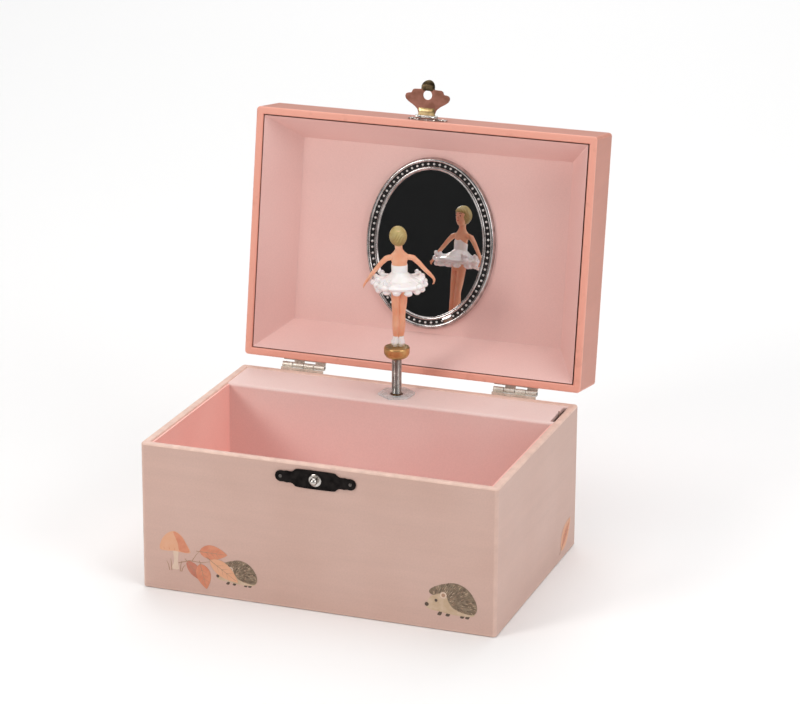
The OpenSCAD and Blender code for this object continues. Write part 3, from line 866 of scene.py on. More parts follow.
# Print inks of the pictures, watery and uneven, from coral to twig brown.
INK_CORAL = PrintInk("coral_print_ink", "case_paper", "#d08061", "#d88e6e", 0.5)
INK_RUST = PrintInk("rust_print_ink", "case_paper", "#bb705b", "#c57e68", 0.5)
INK_PEACH = PrintInk("peach_print_ink", "case_paper", "#dfa582", "#e0a988", 0.5)
INK_CREAM = PrintInk("cream_print_ink", "case_paper", "#d9bda9", "#dcc3ae", 0.5)
INK_BROWN = PrintInk("umber_print_ink", "case_paper", "#8d7a64", "#77634f", 0.5, drift_mm=2.0)
INK_DARK = PrintInk("sepia_print_ink", "case_paper", "#54453a", "#5f4d40", 0.5)
INK_FAWN = PrintInk("fawn_print_ink", "case_paper", "#c2a688", "#cfb59b", 0.5)
INK_TWIG = PrintInk("twig_print_ink", "case_paper", "#b18d75", "#a98369", 0.5)


def fasten(obj: Piece, body: str, finish: Finish) -> Piece:
    """Dresses a piece, rides it on its body and reports it.

    Args:
        obj: the piece.
        body: the CAD body that it moves with.
        finish: its finish.

    Returns:
        The same piece.
    """
    dress(obj, finish)
    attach(obj, body)
    return obj


def dress(obj: Piece, finish: Finish) -> None:
    """Gives a piece or a CAD node its one finish.

    Args:
        obj: the piece or node.
        finish: the finish.
    """
    obj.data.materials.clear()
    obj.data.materials.append(finish.material())
    LOG.info("%s in %s", obj.name, finish.name)


# ------------------------------------------------------------------ repeats

def new_tree(name: str, sockets: dict[str, str]) -> tuple[Tree, Node, Node]:
    """Geometry tree with a geometry input, the named inputs and a geometry output.

    Args:
        name: the tree's name.
        sockets: the socket type of each named input.

    Returns:
        The tree, its input node and its output node.
    """
    tree = bpy.data.node_groups.new(name, "GeometryNodeTree")
    for title, kind in {"Geometry": "Geometry", **sockets}.items():
        tree.interface.new_socket(title, in_out="INPUT", socket_type="NodeSocket" + kind)
    tree.interface.new_socket("Geometry", in_out="OUTPUT", socket_type="NodeSocketGeometry")
    return tree, tree.nodes.new("NodeGroupInput"), tree.nodes.new("NodeGroupOutput")


def finish_tree(tree: Tree, source: Node, sink: Node,
                shape: Socket) -> None:
    """Ends a tree in Realize Instances and Set Material.

    Args:
        tree: the tree.
        source: its input node, with a Finish input.
        sink: its output node.
        shape: the geometry to end with.
    """
    real = add(tree, "GeometryNodeRealizeInstances", {0: shape})
    done = add(tree, "GeometryNodeSetMaterial", {0: real, "Material": source.outputs["Finish"]})
    tree.links.new(done, sink.inputs[0])


def run_tree(carrier: Piece, tree: Tree, values: dict) -> Piece:
    """Runs a geometry tree on a carrier and keeps the result as a plain mesh.

    Args:
        carrier: the object that the tree reads, which is then deleted.
        tree: the tree.
        values: the value of each named input.

    Returns:
        A new mesh object with the carrier's name.
    """
    mod = carrier.modifiers.new("repeat", "NODES")
    mod.node_group = tree
    for item in tree.interface.items_tree:
        if item.in_out == "INPUT" and item.name in values:
            mod[item.identifier] = values[item.name]
    bpy.context.view_layer.update()
    graph = bpy.context.evaluated_depsgraph_get()
    mesh = bpy.data.meshes.new_from_object(carrier.evaluated_get(graph), depsgraph=graph)
    name = carrier.name
    bpy.data.objects.remove(carrier, do_unlink=True)
    made = bpy.data.objects.new(name, mesh)
    bpy.context.scene.collection.objects.link(made)
    return made


def beads_along(name: str, path: Sequence[Vector], radius_mm: float, pitch_mm: float,
                finish: Finish) -> Piece:
    """Round beads evenly spaced along an open path.

    Args:
        name: the piece's name.
        path: points of the path.
        radius_mm: radius of a bead.
        pitch_mm: distance between bead centres.
        finish: the beads' finish.

    Returns:
        The beads as one mesh.
    """
    tree, source, sink = new_tree("bead_row", {"Radius": "Float", "Pitch": "Float", "Finish": "Material"})
    dots = add(tree, "GeometryNodeCurveToPoints", {0: source.outputs[0], "Length": source.outputs["Pitch"]},
               mode="LENGTH")
    bead = add(tree, "GeometryNodeMeshIcoSphere", {"Radius": source.outputs["Radius"], "Subdivisions": 2})
    smooth = add(tree, "GeometryNodeSetShadeSmooth", {0: bead})
    many = add(tree, "GeometryNodeInstanceOnPoints", {"Points": dots, "Instance": smooth})
    finish_tree(tree, source, sink, many)
    data = bpy.data.curves.new(name, "CURVE")
    data.dimensions = "3D"
    spline = data.splines.new("POLY")
    spline.points.add(len(path) - 1)
    for knot, p in zip(spline.points, path):
        knot.co = (*p, 1.0)
    carrier = bpy.data.objects.new(name, data)
    bpy.context.scene.collection.objects.link(carrier)
    return run_tree(carrier, tree, {"Radius": radius_mm * MM, "Pitch": pitch_mm * MM,
                                    "Finish": finish.material()})


class Drive(Enum):
    """What the head of a fastener looks like."""

    PLAIN = "domed nail"
    SLOT = "slotted screw"


def heads(name: str, node: str, outward: Vector, radius_mm: float, height_mm: float, drive: Drive,
          finish: Finish) -> Piece:
    """Domed heads where a CAD node has its fasteners.

    Args:
        name: the piece's name.
        node: the CAD node, one lump for each fastener, which the heads replace.
        outward: the way that the heads face.
        radius_mm: radius of a head.
        height_mm: height of a head.
        drive: plain or slotted.
        finish: the heads' finish.

    Returns:
        The heads and their shanks as one mesh.
    """
    seats = []
    for lump in islands(node):
        middle = sum(lump, Vector()) / len(lump)
        across = middle - outward * middle.dot(outward)
        seats.append(across + outward * max(v.dot(outward) for v in lump))
    r, h = radius_mm * MM, height_mm * MM
    dome = [(r * 0.45, -3.0 * MM), (r * 0.45, -h), (r, -h), (r, -h * 0.72), (r * 0.86, -h * 0.34),
            (r * 0.6, -h * 0.1), (r * 0.25, 0.0)]
    head = make_object(name + "_one", *turned(dome, 20))
    if drive is Drive.SLOT:
        wide, deep = r * 0.16, h * 0.5
        corners = [[Vector((sx * wide, sy * r * 1.2, z)) for sx, sy in ((1, 1), (-1, 1), (-1, -1), (1, -1))]
                   for z in (-deep, h)]
        cut(head, loft(corners, caps=True))
        tidy_mesh(head)
    tree, source, sink = new_tree("fastener_row", {"Head": "Object", "Turn": "Rotation",
                                                   "Finish": "Material"})
    one = add(tree, "GeometryNodeObjectInfo", {"Object": source.outputs["Head"]}, "Geometry")
    spin = add(tree, "FunctionNodeRandomValue", {"Max": (0.0, 0.0, math.tau), "Seed": 7},
               data_type="FLOAT_VECTOR")
    own = add(tree, "FunctionNodeEulerToRotation", {0: spin})
    facing = add(tree, "FunctionNodeRotateRotation", {0: source.outputs["Turn"], 1: own},
                 rotation_space="LOCAL")
    many = add(tree, "GeometryNodeInstanceOnPoints", {"Points": source.outputs[0], "Instance": one,
                                                      "Rotation": facing})
    finish_tree(tree, source, sink, many)
    carrier = bpy.data.objects.new(name, bpy.data.meshes.new(name))
    carrier.data.from_pydata([tuple(p) for p in seats], [], [])
    bpy.context.scene.collection.objects.link(carrier)
    turn = outward.to_track_quat("Z", "Y").to_euler()
    made = run_tree(carrier, tree, {"Head": head, "Turn": turn, "Finish": finish.material()})
    bpy.data.objects.remove(head, do_unlink=True)
    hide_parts(node)
    return made


# ------------------------------------------------------------------ case

@dataclass
class Case:
    """Lower box: boards in printed paper, a card lining and the platform over the movement."""

    corner_mm: float = 1.9
    rim_roll_mm: float = 0.9
    card_roll_mm: float = 1.6
    card_mm: float = 2.0
    post_hole_mm: float = 3.4
    slot_end_mm: float = 1.8
    slot_left_mm: float = 1.6
    slot_right_mm: float = 0.8
    drill_reach_mm: float = 6.0
    # How pale the rims and corners are painted: partly scuffing, partly a painted highlight.
    rim_rub_and_highlight: float = 0.9
    corner_rub_and_highlight: float = 0.35

    def build(self) -> None:
        """Builds and dresses the case."""
        self.wrapped_walls()
        self.platform()
        for node, finish in (("base_bottom", UNDERSIDE), ("lining_floor", CARD_PINK),
                             ("lining_front", CARD_PINK), ("lining_sides", CARD_CORAL)):
            dress(frame["nodes"][node], finish)
        fasten(softened_copy("post_escutcheon", "escutcheon_plate", 0.4, 25), "case", SATIN_NICKEL)

    def wrapped_walls(self) -> None:
        """The four wall boards under one wrap of paper, with rolled rims made pale by scuffing and a painted
        highlight.
        """
        low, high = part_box("base_front")
        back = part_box("base_back")[1].y
        board = high.y - low.y
        roll, top = self.rim_roll_mm * MM, high.z
        quarter = [math.radians(a) for a in range(0, 91, 18)]
        profile = [(board, 0.0, 0.0), (0.4 * roll, 0.0, 0.5), (0.0, 0.4 * roll, 0.5), (0.0, 1.3 * MM, 0.0),
                   (0.0, top - 1.2 * roll, 0.0)]
        profile += [(roll * (1 - math.cos(a)), top - roll * (1 - math.sin(a)), 1.0) for a in quarter]
        profile += [(board - roll * (1 - math.sin(a)), top - roll * (1 - math.cos(a)), self.rim_rub_and_highlight)
                    for a in quarter]
        rows, wear = [], []
        for inset, z, row_rub_and_highlight in profile:
            row = rounded_rect(low.x + inset, high.x - inset, low.y + inset, back - inset,
                               max(self.corner_mm * MM - inset, 0.1 * MM), z)
            rows.append(row)
            side = len(row) // 4
            wear += [max(row_rub_and_highlight, self.corner_rub_and_highlight if 0 < i % side < side - 1 else 0.0) for i in range(len(row))]
        points, faces = loft(rows, ring=True)
        obj = make_object("wrapped_case_walls", points, faces, wear=wear)
        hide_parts("base_front", "base_back", "base_left", "base_right")
        fasten(obj, "case", CASE_PAPER)

    def platform(self) -> None:
        """One folded card: top, rolled front edge and front, with a slot and a round hole."""
        low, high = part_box("platform_top")
        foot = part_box("platform_front")[0].z
        wire_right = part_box("stop_wire")[1].x
        roll, card = self.card_roll_mm * MM, self.card_mm * MM
        quarter = [math.radians(a) for a in range(0, 91, 15)]
        outline = [(low.y, foot)]
        outline += [(low.y + roll * (1 - math.cos(a)), high.z - roll * (1 - math.sin(a))) for a in quarter]
        outline += [(high.y, high.z), (high.y, high.z - card), (low.y + card, high.z - card),
                    (low.y + card, foot)]
        rows = [[Vector((x, y, z)) for y, z in outline] for x in (low.x, high.x)]
        obj = make_object("folded_platform_card", *loft(rows, caps=True))
        post = centre_of("post_escutcheon")
        drill = Matrix.Translation(post)
        reach = self.drill_reach_mm * MM
        hole = turned([(self.post_hole_mm * MM, -reach), (self.post_hole_mm * MM, reach)], 48)
        cut(obj, placed(drill, hole))
        ends = self.slot_end_mm * MM
        left, right = wire_right - self.slot_left_mm * MM, wire_right + self.slot_right_mm * MM
        slot = [rounded_rect(left, right, low.y + ends, high.y - ends, 1.0 * MM, high.z + z)
                for z in (-reach, reach)]
        cut(obj, loft(slot, caps=True))
        tidy_mesh(obj, 50)
        keep_flats_flat(obj)
        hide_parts("platform_top", "platform_front")
        fasten(obj, "case", CARD_PALE)


@dataclass
class Keeper:
    """Front half of the catch: lobed plate, its two nails and the round stud."""

    ball_mm: float = 2.0
    ring_mm: float = 3.3
    nail_mm: float = 0.9
    head_mm: float = 0.45
    plate_half: tuple = ((0.0, 4.9), (4.0, 4.9), (8.0, 4.8), (10.4, 4.6), (11.3, 3.9), (12.5, 3.1),
                         (14.0, 2.95),
                         (15.4, 3.1), (16.8, 2.8), (18.8, 2.9), (20.5, 2.2), (21.35, 0.9), (21.35, -0.9),
                         (20.5, -2.2), (18.8, -2.9), (16.8, -2.8), (15.4, -3.1), (14.0, -2.95), (12.5, -3.1),
                         (11.3, -3.9), (10.4, -4.6), (8.0, -4.8), (4.0, -4.9), (0.0, -4.9))

    def build(self) -> None:
        """Builds and dresses plate, nails and stud."""
        front = Vector((0, -1, 0))
        low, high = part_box("keeper_plate")
        upright = Matrix.Rotation(math.radians(90), 4, "X")
        flat = Matrix.Translation(Vector((0, high.y, (low.z + high.z) / 2))) @ upright @ Matrix.Scale(MM, 4)
        sheet = stamped(self.plate_half, 0.0, (high.y - low.y) / MM)
        plate = make_object("keeper_face_plate", *placed(flat, sheet))
        roll_edges(plate, 0.2)
        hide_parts("keeper_plate")
        fasten(plate, "case", DARK_NICKEL)
        nails = heads("keeper_nail_heads", "keeper_nails", front, self.nail_mm, self.head_mm, Drive.PLAIN,
                      OILED_STEEL)
        fasten(nails, "case", OILED_STEEL)
        low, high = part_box("keeper_stud")
        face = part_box("keeper_plate")[0].y
        seat = Vector((0, face, centre_of("keeper_stud").z))
        ball_out = seat.y - low.y - self.ball_mm * MM
        ring = self.ring_mm
        profile = [(0.9, -2.8), (0.9, -0.05), (ring, -0.05), (ring, 0.2), (ring - 0.3, 0.42),
                   (ring - 0.8, 0.46),
                   (1.35, 0.35), (1.05, 0.7)]
        profile = [(r * MM, z * MM) for r, z in profile]
        for a in np.linspace(math.radians(-58), math.radians(86), 16):
            profile.append((self.ball_mm * MM * math.cos(a), ball_out + self.ball_mm * MM * math.sin(a)))
        stud = placed(Matrix.Translation(seat) @ upright, turned(profile, 40))
        obj = make_object("keeper_ball_stud", *stud)
        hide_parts("keeper_stud")
        fasten(obj, "case", NICKEL)


# ------------------------------------------------------------------ printed pictures

@dataclass
class Prints:
    """Small woodland pictures printed on the front and one side: toadstool, leaves and hedgehogs."""

    ink_mm: float = 0.025
    spine_mm: float = 1.7
    spines: int = 420
    inks: dict[Finish, list[Mesh]] = field(default_factory=dict)
    front: float = field(init=False)
    right: float = field(init=False)

    def build(self) -> None:
        """Lays every picture, then makes one piece for each ink."""
        self.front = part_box("base_front")[0].y
        self.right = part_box("base_right")[1].x
        self.toadstool()
        self.sprig()
        self.hedgehog(58.6, 8.0, 27.0, 17.7)
        self.hedgehog(-53.6, 7.8, 22.2, 13.6)
        self.leaf(INK_PEACH, (41.0, 5.5), (57.5, 18.5), 11.5, 2, True)
        self.leaf(INK_CORAL, (43.0, 7.0), (55.5, 17.0), 4.6, 5, True)
        for finish, parts in self.inks.items():
            fasten(make_object("print_" + finish.name, *joined(parts)), "case", finish)

    def patch(self, finish: Finish, shape: Sequence[Pair], layer: int, on_side: bool = False) -> None:
        """Adds a flat film of ink.

        Args:
            finish: the ink.
            shape: its outline, across and up, in millimetres.
            layer: how many inks lie under it.
            on_side: whether it is on the right side instead of the front.
        """
        rows = []
        for lift in (-0.4, 1.0):
            out = (layer + lift) * self.ink_mm * MM
            if on_side:
                rows.append([Vector((self.right + out, across * MM, up * MM)) for across, up in shape])
            else:
                rows.append([Vector((across * MM, self.front - out, up * MM)) for across, up in shape])
        self.inks.setdefault(finish, []).append(loft(rows, caps=True))

    def stroke(self, finish: Finish, knots: Sequence[Pair], width: float, layer: int,
               on_side: bool = False) -> None:
        """Thin tapering line through knots.

        Args:
            finish: the ink.
            knots: across and up, in millimetres.
            width: width at its start.
            layer: how many inks lie under it.
            on_side: whether it is on the right side.
        """
        line = [np.array(k) for k in knots]
        left, right = [], []
        for i, p in enumerate(line):
            along = line[min(i + 1, len(line) - 1)] - line[max(i - 1, 0)]
            normal = np.array((-along[1], along[0])) / np.linalg.norm(along)
            half = width / 2 * (1 - 0.6 * i / (len(line) - 1))
            left.append(tuple(p + normal * half))
            right.append(tuple(p - normal * half))
        self.patch(finish, left + right[::-1], layer, on_side)

    def leaf(self, finish: Finish, base: Pair, tip: Pair, width: float, layer: int,
             on_side: bool = False) -> None:
        """One pointed leaf with a midrib and side veins.

        Args:
            finish: its ink.
            base: where its stalk joins.
            tip: its point.
            width: its full width.
            layer: how many inks lie under it.
            on_side: whether it is on the right side.
        """
        a, b = np.array(base), np.array(tip)
        along = b - a
        across = np.array((-along[1], along[0])) / np.linalg.norm(along)
        sides = []
        for side in (1, -1):
            sides.append([a + along * t + across * side * width / 2 * math.sin(math.pi * t ** 0.8) ** 0.85
                          * (1.08 if side > 0 else 0.92) for t in np.linspace(0, 1, 14)])
        self.patch(finish, [tuple(p) for p in sides[0] + sides[1][-2:0:-1]], layer, on_side)
        rib = [tuple(a + along * t) for t in (-0.12, 0.3, 0.6, 0.92)]
        self.stroke(INK_TWIG, rib, 0.34, layer + 1, on_side)
        for t in (0.25, 0.42, 0.59):
            for side in (1, -1):
                vein = [tuple(a + along * (t + 0.14 * k) + across * side * width * 0.3 * k)
                        for k in (0, 0.5, 1)]
                self.stroke(INK_TWIG, vein, 0.18, layer + 1, on_side)

    def toadstool(self) -> None:
        """Cap with a paler side, gills, stem and a few blades of grass."""
        self.patch(INK_CREAM, smooth_outline([(-77.8, 22.2), (-77.5, 16.1), (-78.9, 12.4), (-76.8, 11.8),
                                              (-74.9, 12.4),
                                            (-75.4, 16.1), (-75.1, 22.2)]), 0)
        self.patch(INK_PEACH, smooth_outline([(-85.2, 22.0), (-84.2, 27.0), (-81.0, 31.0), (-77.0, 32.5),
                                              (-73.3, 30.6),
                                            (-70.6, 26.6), (-68.4, 22.0), (-72.8, 21.5), (-77.0, 21.9),
                                            (-81.0, 21.4)]), 1)
        self.patch(INK_CORAL, smooth_outline([(-77.6, 32.2), (-73.3, 30.3), (-70.8, 26.6), (-69.0, 22.3),
                                              (-74.2, 22.1),
                                              (-75.4, 26.6)]), 2)
        for x in (-82.6, -79.9, -77.1, -74.3, -71.4):
            self.stroke(INK_CORAL, [(x, 22.2), (x + 0.1 * (77 + x), 23.5)], 0.3, 3)
        for x, lean, tall in ((-80.0, -1.6, 5.0), (-78.8, -0.5, 6.5), (-74.2, 1.1, 6.0), (-73.4, 2.2, 4.0)):
            self.stroke(INK_TWIG, [(x, 11.0), (x + lean * 0.4, 11.0 + tall * 0.6), (x + lean, 11.0 + tall)],
                        0.5, 2)

    def sprig(self) -> None:
        """Bent twig with four leaves."""
        self.stroke(INK_TWIG, [(-75.0, 15.6), (-69.0, 17.6), (-62.5, 17.4), (-57.5, 18.6)], 0.5, 2)
        self.stroke(INK_TWIG, [(-67.5, 17.6), (-65.5, 20.9), (-63.2, 23.6)], 0.4, 2)
        self.leaf(INK_CORAL, (-63.4, 23.4), (-48.0, 23.4), 7.8, 3)
        self.leaf(INK_RUST, (-70.4, 17.2), (-62.0, 7.4), 5.8, 3)
        self.leaf(INK_CORAL, (-63.0, 16.8), (-59.6, 3.4), 8.0, 5)
        self.leaf(INK_PEACH, (-57.6, 19.6), (-42.2, 9.4), 7.8, 9)

    def hedgehog(self, left: float, foot: float, wide: float, tall: float) -> None:
        """Hedgehog walking left: fawn face and belly, umber coat with strokes for spines.

        Args:
            left: its nose.
            foot: the ground under it.
            wide: its length.
            tall: its height.
        """
        def at(points: Sequence[Pair]) -> list[Pair]:
            """Scales a drawing on a unit square."""
            return [(left + wide * u, foot + tall * v) for u, v in points]

        self.patch(INK_FAWN, smooth_outline(at([(0.0, 0.2), (0.05, 0.44), (0.12, 0.56), (0.3, 0.64),
                                                (0.45, 0.5),
                                              (0.6, 0.25), (0.92, 0.2), (0.88, 0.07), (0.55, 0.05),
                                                (0.25, 0.1),
                                              (0.1, 0.12)])), 3)
        coat = smooth_outline(at([(0.05, 0.66), (0.12, 0.79), (0.34, 0.94), (0.57, 1.0), (0.79, 0.87),
                                  (0.94, 0.57),
                                  (0.98, 0.3), (0.91, 0.13), (0.72, 0.14), (0.53, 0.24), (0.43, 0.42),
                                  (0.38, 0.6),
                                  (0.26, 0.64), (0.13, 0.57)]))
        self.patch(INK_BROWN, coat, 4)
        rng = np.random.default_rng(11)
        grow = wide / 27.0
        for _ in range(self.spines):
            u, v = rng.uniform(0.04, 0.98), rng.uniform(0.12, 1.0)
            root = np.array(at([(u, v)])[0])
            lean = math.atan2(v - 0.2, u - 0.42) - 0.55 + rng.normal(0, 0.12)
            length = self.spine_mm * grow * rng.uniform(0.7, 1.1)
            tip = root + length * np.array((math.cos(lean), math.sin(lean)))
            finish = (INK_DARK, INK_BROWN, INK_FAWN, INK_TWIG, INK_DARK)[rng.integers(0, 5)]
            if within(coat, root) and within(coat, root + 0.75 * (tip - root)):
                self.stroke(finish, [tuple(root), tuple(tip)], 0.26, 5)
        ear = at([(0.33, 0.6)])[0]
        for finish, r, layer in ((INK_CREAM, 0.1 * tall, 6), (INK_TWIG, 0.055 * tall, 7)):
            self.patch(finish, [(ear[0] + r * math.cos(t), ear[1] + r * math.sin(t))
                                for t in around(16)], layer)
        eye = at([(0.19, 0.42)])[0]
        nose = at([(0.01, 0.27)])[0]
        for centre, r in ((eye, 0.045 * tall), (nose, 0.06 * tall)):
            self.patch(INK_DARK, [(centre[0] + r * math.cos(t), centre[1] + r * math.sin(t))
                                  for t in around(14)], 6)
        for u in (0.26, 0.42, 0.7, 0.8):
            self.patch(INK_DARK, smooth_outline(at([(u, 0.1), (u - 0.045, 0.0), (u + 0.02, -0.015),
                                                    (u + 0.045, 0.08)])), 2)


# ------------------------------------------------------------------ hinges

@dataclass
class Hinges:
    """Two small butt hinges with their pins and screws."""

    screw_mm: float = 1.5
    head_mm: float = 0.75

    def build(self) -> None:
        """Builds and dresses leaves, pins and screws."""
        fasten(softened_copy("base_hinge_leaves", "hinge_leaves_case", 0.16), "case", HINGE_NICKEL)
        fasten(softened_copy("lid_hinge_leaves", "hinge_leaves_lid", 0.16), "lid", HINGE_NICKEL)
        dress(frame["nodes"]["hinge_pins"], OILED_STEEL)
        back = Vector((0, 1, 0))
        lid_back = opened().to_3x3() @ back
        for node, name, body, way in (("base_hinge_screws", "hinge_screws_case", "case", back),
                                      ("lid_hinge_screws", "hinge_screws_lid", "lid", lid_back)):
            fasten(heads(name, node, way, self.screw_mm, self.head_mm, Drive.SLOT, NICKEL), body, NICKEL)


# ------------------------------------------------------------------ lid

@dataclass
class Lid:
    """Lid wrapped in coral paper, with a pressed card tray inside; sizes are for the closed lid."""

    wide_mm: float = 190.0
    deep_mm: float = 135.0
    rim_mm: float = 78.0
    tall_mm: float = 30.0
    board_mm: float = 4.0
    top_board_mm: float = 3.5
    corner_mm: float = 1.9
    # How pale the rims, crown and corners are painted: partly scuffing, partly a painted highlight.
    rim_rub_and_highlight: float = 1.6
    crown_rub_and_highlight: float = 0.55
    corner_rub_and_highlight: float = 0.45
    rim_roll_mm: float = 0.9
    top_roll_mm: float = 1.6
    tray_gap_mm: float = 0.6
    tray_end_gap_mm: float = 0.5
    tray_lift_mm: float = 0.6
    crease_mm: float = 0.5
    ceiling_mm: float = 102.0
    ceiling_half_mm: float = 76.0
    ceiling_front_mm: float = -50.5
    ceiling_back_mm: float = 49.0
    card_mm: float = 0.8
    place: Matrix = field(init=False)

    def build(self) -> None:
        """Builds and dresses the lid."""
        self.place = opened() @ Matrix.Scale(MM, 4)
        self.wrapped_boards()
        self.lining_tray()

    def wrapped_boards(self) -> None:
        """Top and rails under one wrap of paper, its folds made pale by scuffing and a painted highlight."""
        w, d = self.wide_mm / 2, self.deep_mm / 2
        rim, top = self.rim_mm, self.rim_mm + self.tall_mm
        roll, crown, board = self.rim_roll_mm, self.top_roll_mm, self.board_mm
        quarter = [math.radians(a) for a in range(0, 91, 18)]
        profile = [(board, top - self.top_board_mm, 0.0), (board, rim + 1.2 * roll, 0.0)]
        profile += [(board - roll * (1 - math.cos(a)), rim + roll * (1 - math.sin(a)), self.rim_rub_and_highlight)
                    for a in quarter]
        profile += [(roll * (1 - math.sin(a)), rim + roll * (1 - math.cos(a)), self.rim_rub_and_highlight) for a in quarter]
        profile += [(0.0, rim + 1.3 * roll, 0.0), (0.0, top - 1.3 * crown, 0.0)]
        profile += [(crown * (1 - math.cos(a)), top - crown * (1 - math.sin(a)), self.crown_rub_and_highlight)
                    for a in quarter]
        profile += [(1.5 * crown, top, 0.0)]
        rows, wear = [], []
        for inset, z, row_rub_and_highlight in profile:
            corner = max(self.corner_mm - inset, 0.1)
            row = rounded_rect(-w + inset, w - inset, -d + inset, d - inset, corner, z)
            rows.append(row)
            side = len(row) // 4
            wear += [max(row_rub_and_highlight, self.corner_rub_and_highlight if 0 < i % side < side - 1 and inset < board / 2 else 0.0)
                     for i in range(len(row))]
        points, faces = placed(self.place, loft(rows, caps=True))
        obj = make_object("wrapped_lid_boards", points, faces, wear=wear)
        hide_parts("lid_top", "lid_front", "lid_back", "lid_sides")
        fasten(obj, "lid", LID_PAPER)

    def lining_tray(self) -> None:
        """Pressed card tray: four sloping sides and a soft crease round its ceiling."""
        foot, head, crease = self.rim_mm + self.tray_lift_mm, self.ceiling_mm, self.crease_mm
        fx = self.wide_mm / 2 - self.board_mm - self.tray_gap_mm
        fy = self.deep_mm / 2 - self.board_mm - self.tray_end_gap_mm
        rows = []
        for t, rise in ((0.0, 0.0), (0.97, 0.97), (0.99, 0.996), (1.015, 1.0)):
            z = foot + (head - foot) * rise
            x = fx + (self.ceiling_half_mm - fx) * t
            rows.append(rounded_rect(-x, x, -fy + (self.ceiling_front_mm + fy) * t,
                                     fy + (self.ceiling_back_mm - fy) * t, crease, z, 4))
        rows.append([Vector((p.x, p.y, p.z + self.card_mm)) for p in rows[-1]])
        wide = rounded_rect(-fx + 0.1, fx - 0.1, -fy + 0.1, fy - 0.1, crease, foot + 0.5, 4)
        obj = make_object("lid_lining_tray", *placed(self.place, self.shell(rows, wide)), 60)
        keep_flats_flat(obj)
        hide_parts("lid_ceiling", "lid_bevel_panels")
        fasten(obj, "lid", CARD_LID)

    def shell(self, rows: list, wide: list) -> Mesh:
        """Closes the tray's card.

        Args:
            rows: loops of the shown side from the rim up, then one above the ceiling.
            wide: the loop behind the rim.

        Returns:
            Points and faces.
        """
        shown = rows[:-1]
        back = [rows[-1], wide]
        points, faces = loft(shown + back, ring=True)
        count = len(rows[0])
        shown_end, back_start = (len(shown) - 1) * count, len(shown) * count
        drop = set(range(shown_end, shown_end + count)) | set(range(back_start, back_start + count))
        faces = [f for f in faces if not set(f) <= drop]
        faces += [tuple(range(shown_end, shown_end + count)), tuple(range(back_start, back_start + count))]
        return points, faces


@dataclass
class Mirror:
    """Oval mirror in a plated frame with a black channel full of small beads."""

    lid: Lid
    glass_half: Pair = (30.0, 40.0)
    bead_line_mm: float = 2.87
    bead_mm: float = 0.68
    bead_pitch_mm: float = 3.2
    join_deg: float = 68.0
    join_half_deg: float = 4.5
    steps: int = 160

    def oval(self, out: float, drop: float, turns: Iterable[float] | None = None) -> list[Vector]:
        """Points of the glass oval pushed outwards, at a height under the ceiling.

        Args:
            out: distance outwards from the glass's edge.
            drop: distance below the ceiling.
            turns: angles in radians; the whole oval if left out.

        Returns:
            The points, in millimetres, in the closed lid.
        """
        a, b = self.glass_half
        row = []
        for t in around(self.steps) if turns is None else turns:
            normal = Vector((b * math.cos(t), a * math.sin(t), 0)).normalized()
            edge = Vector((a * math.cos(t), b * math.sin(t), self.lid.ceiling_mm - drop))
            row.append(edge + normal * out)
        return row

    def build(self) -> None:
        """Builds glass, frame, channel, join and beads; a profile is distance out, then height."""
        dress(frame["nodes"]["mirror_backing"], BLACK_PLASTIC)
        dress(frame["nodes"]["mirror_glass"], MIRROR)
        moulding = [(-0.3, 1.85), (0.0, 2.3), (0.35, 2.65), (0.85, 2.8), (1.3, 2.65), (1.6, 2.3), (1.7, 1.9),
                    (1.75, 1.3), (4.0, 1.3), (4.05, 1.9), (4.15, 2.4), (4.5, 2.8), (5.1, 2.95), (5.7, 2.75),
                    (6.15, 2.2), (6.35, 1.3), (6.4, 0.02), (-0.3, 0.02)]
        ring = make_object("mirror_frame_moulding", *placed(self.lid.place, loft(
            [self.oval(out, drop) for out, drop in moulding], ring=True)), 50)
        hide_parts("mirror_frame")
        fasten(ring, "lid", FRAME_SILVER)
        groove = [(1.72, 1.0), (1.72, 1.62), (4.03, 1.62), (4.03, 1.0)]
        fasten(make_object("mirror_frame_channel", *placed(self.lid.place, loft(
            [self.oval(out, drop) for out, drop in groove], ring=True))), "lid", CHANNEL_BLACK)
        centre, half = math.radians(self.join_deg), math.radians(self.join_half_deg)
        turns = np.linspace(centre - half, centre + half, 10)
        cover = [(1.4, 1.2), (1.6, 2.3), (2.3, 2.5), (2.9, 2.54), (3.5, 2.5), (4.3, 2.4), (4.5, 1.2)]
        lines = [self.oval(out, drop, turns) for out, drop in cover]
        patch = loft([[line[i] for line in lines] for i in range(len(turns))], caps=True)
        fasten(make_object("mirror_frame_join", *placed(self.lid.place, patch), 50), "lid", FRAME_SILVER)
        turns = np.linspace(centre + 1.25 * half, centre + math.tau - 1.25 * half, 400)
        path = placed(self.lid.place, (self.oval(self.bead_line_mm, 1.85, turns), []))[0]
        fasten(beads_along("mirror_frame_beads", path, self.bead_mm, self.bead_pitch_mm, BEAD_SILVER),
               "lid", BEAD_SILVER)


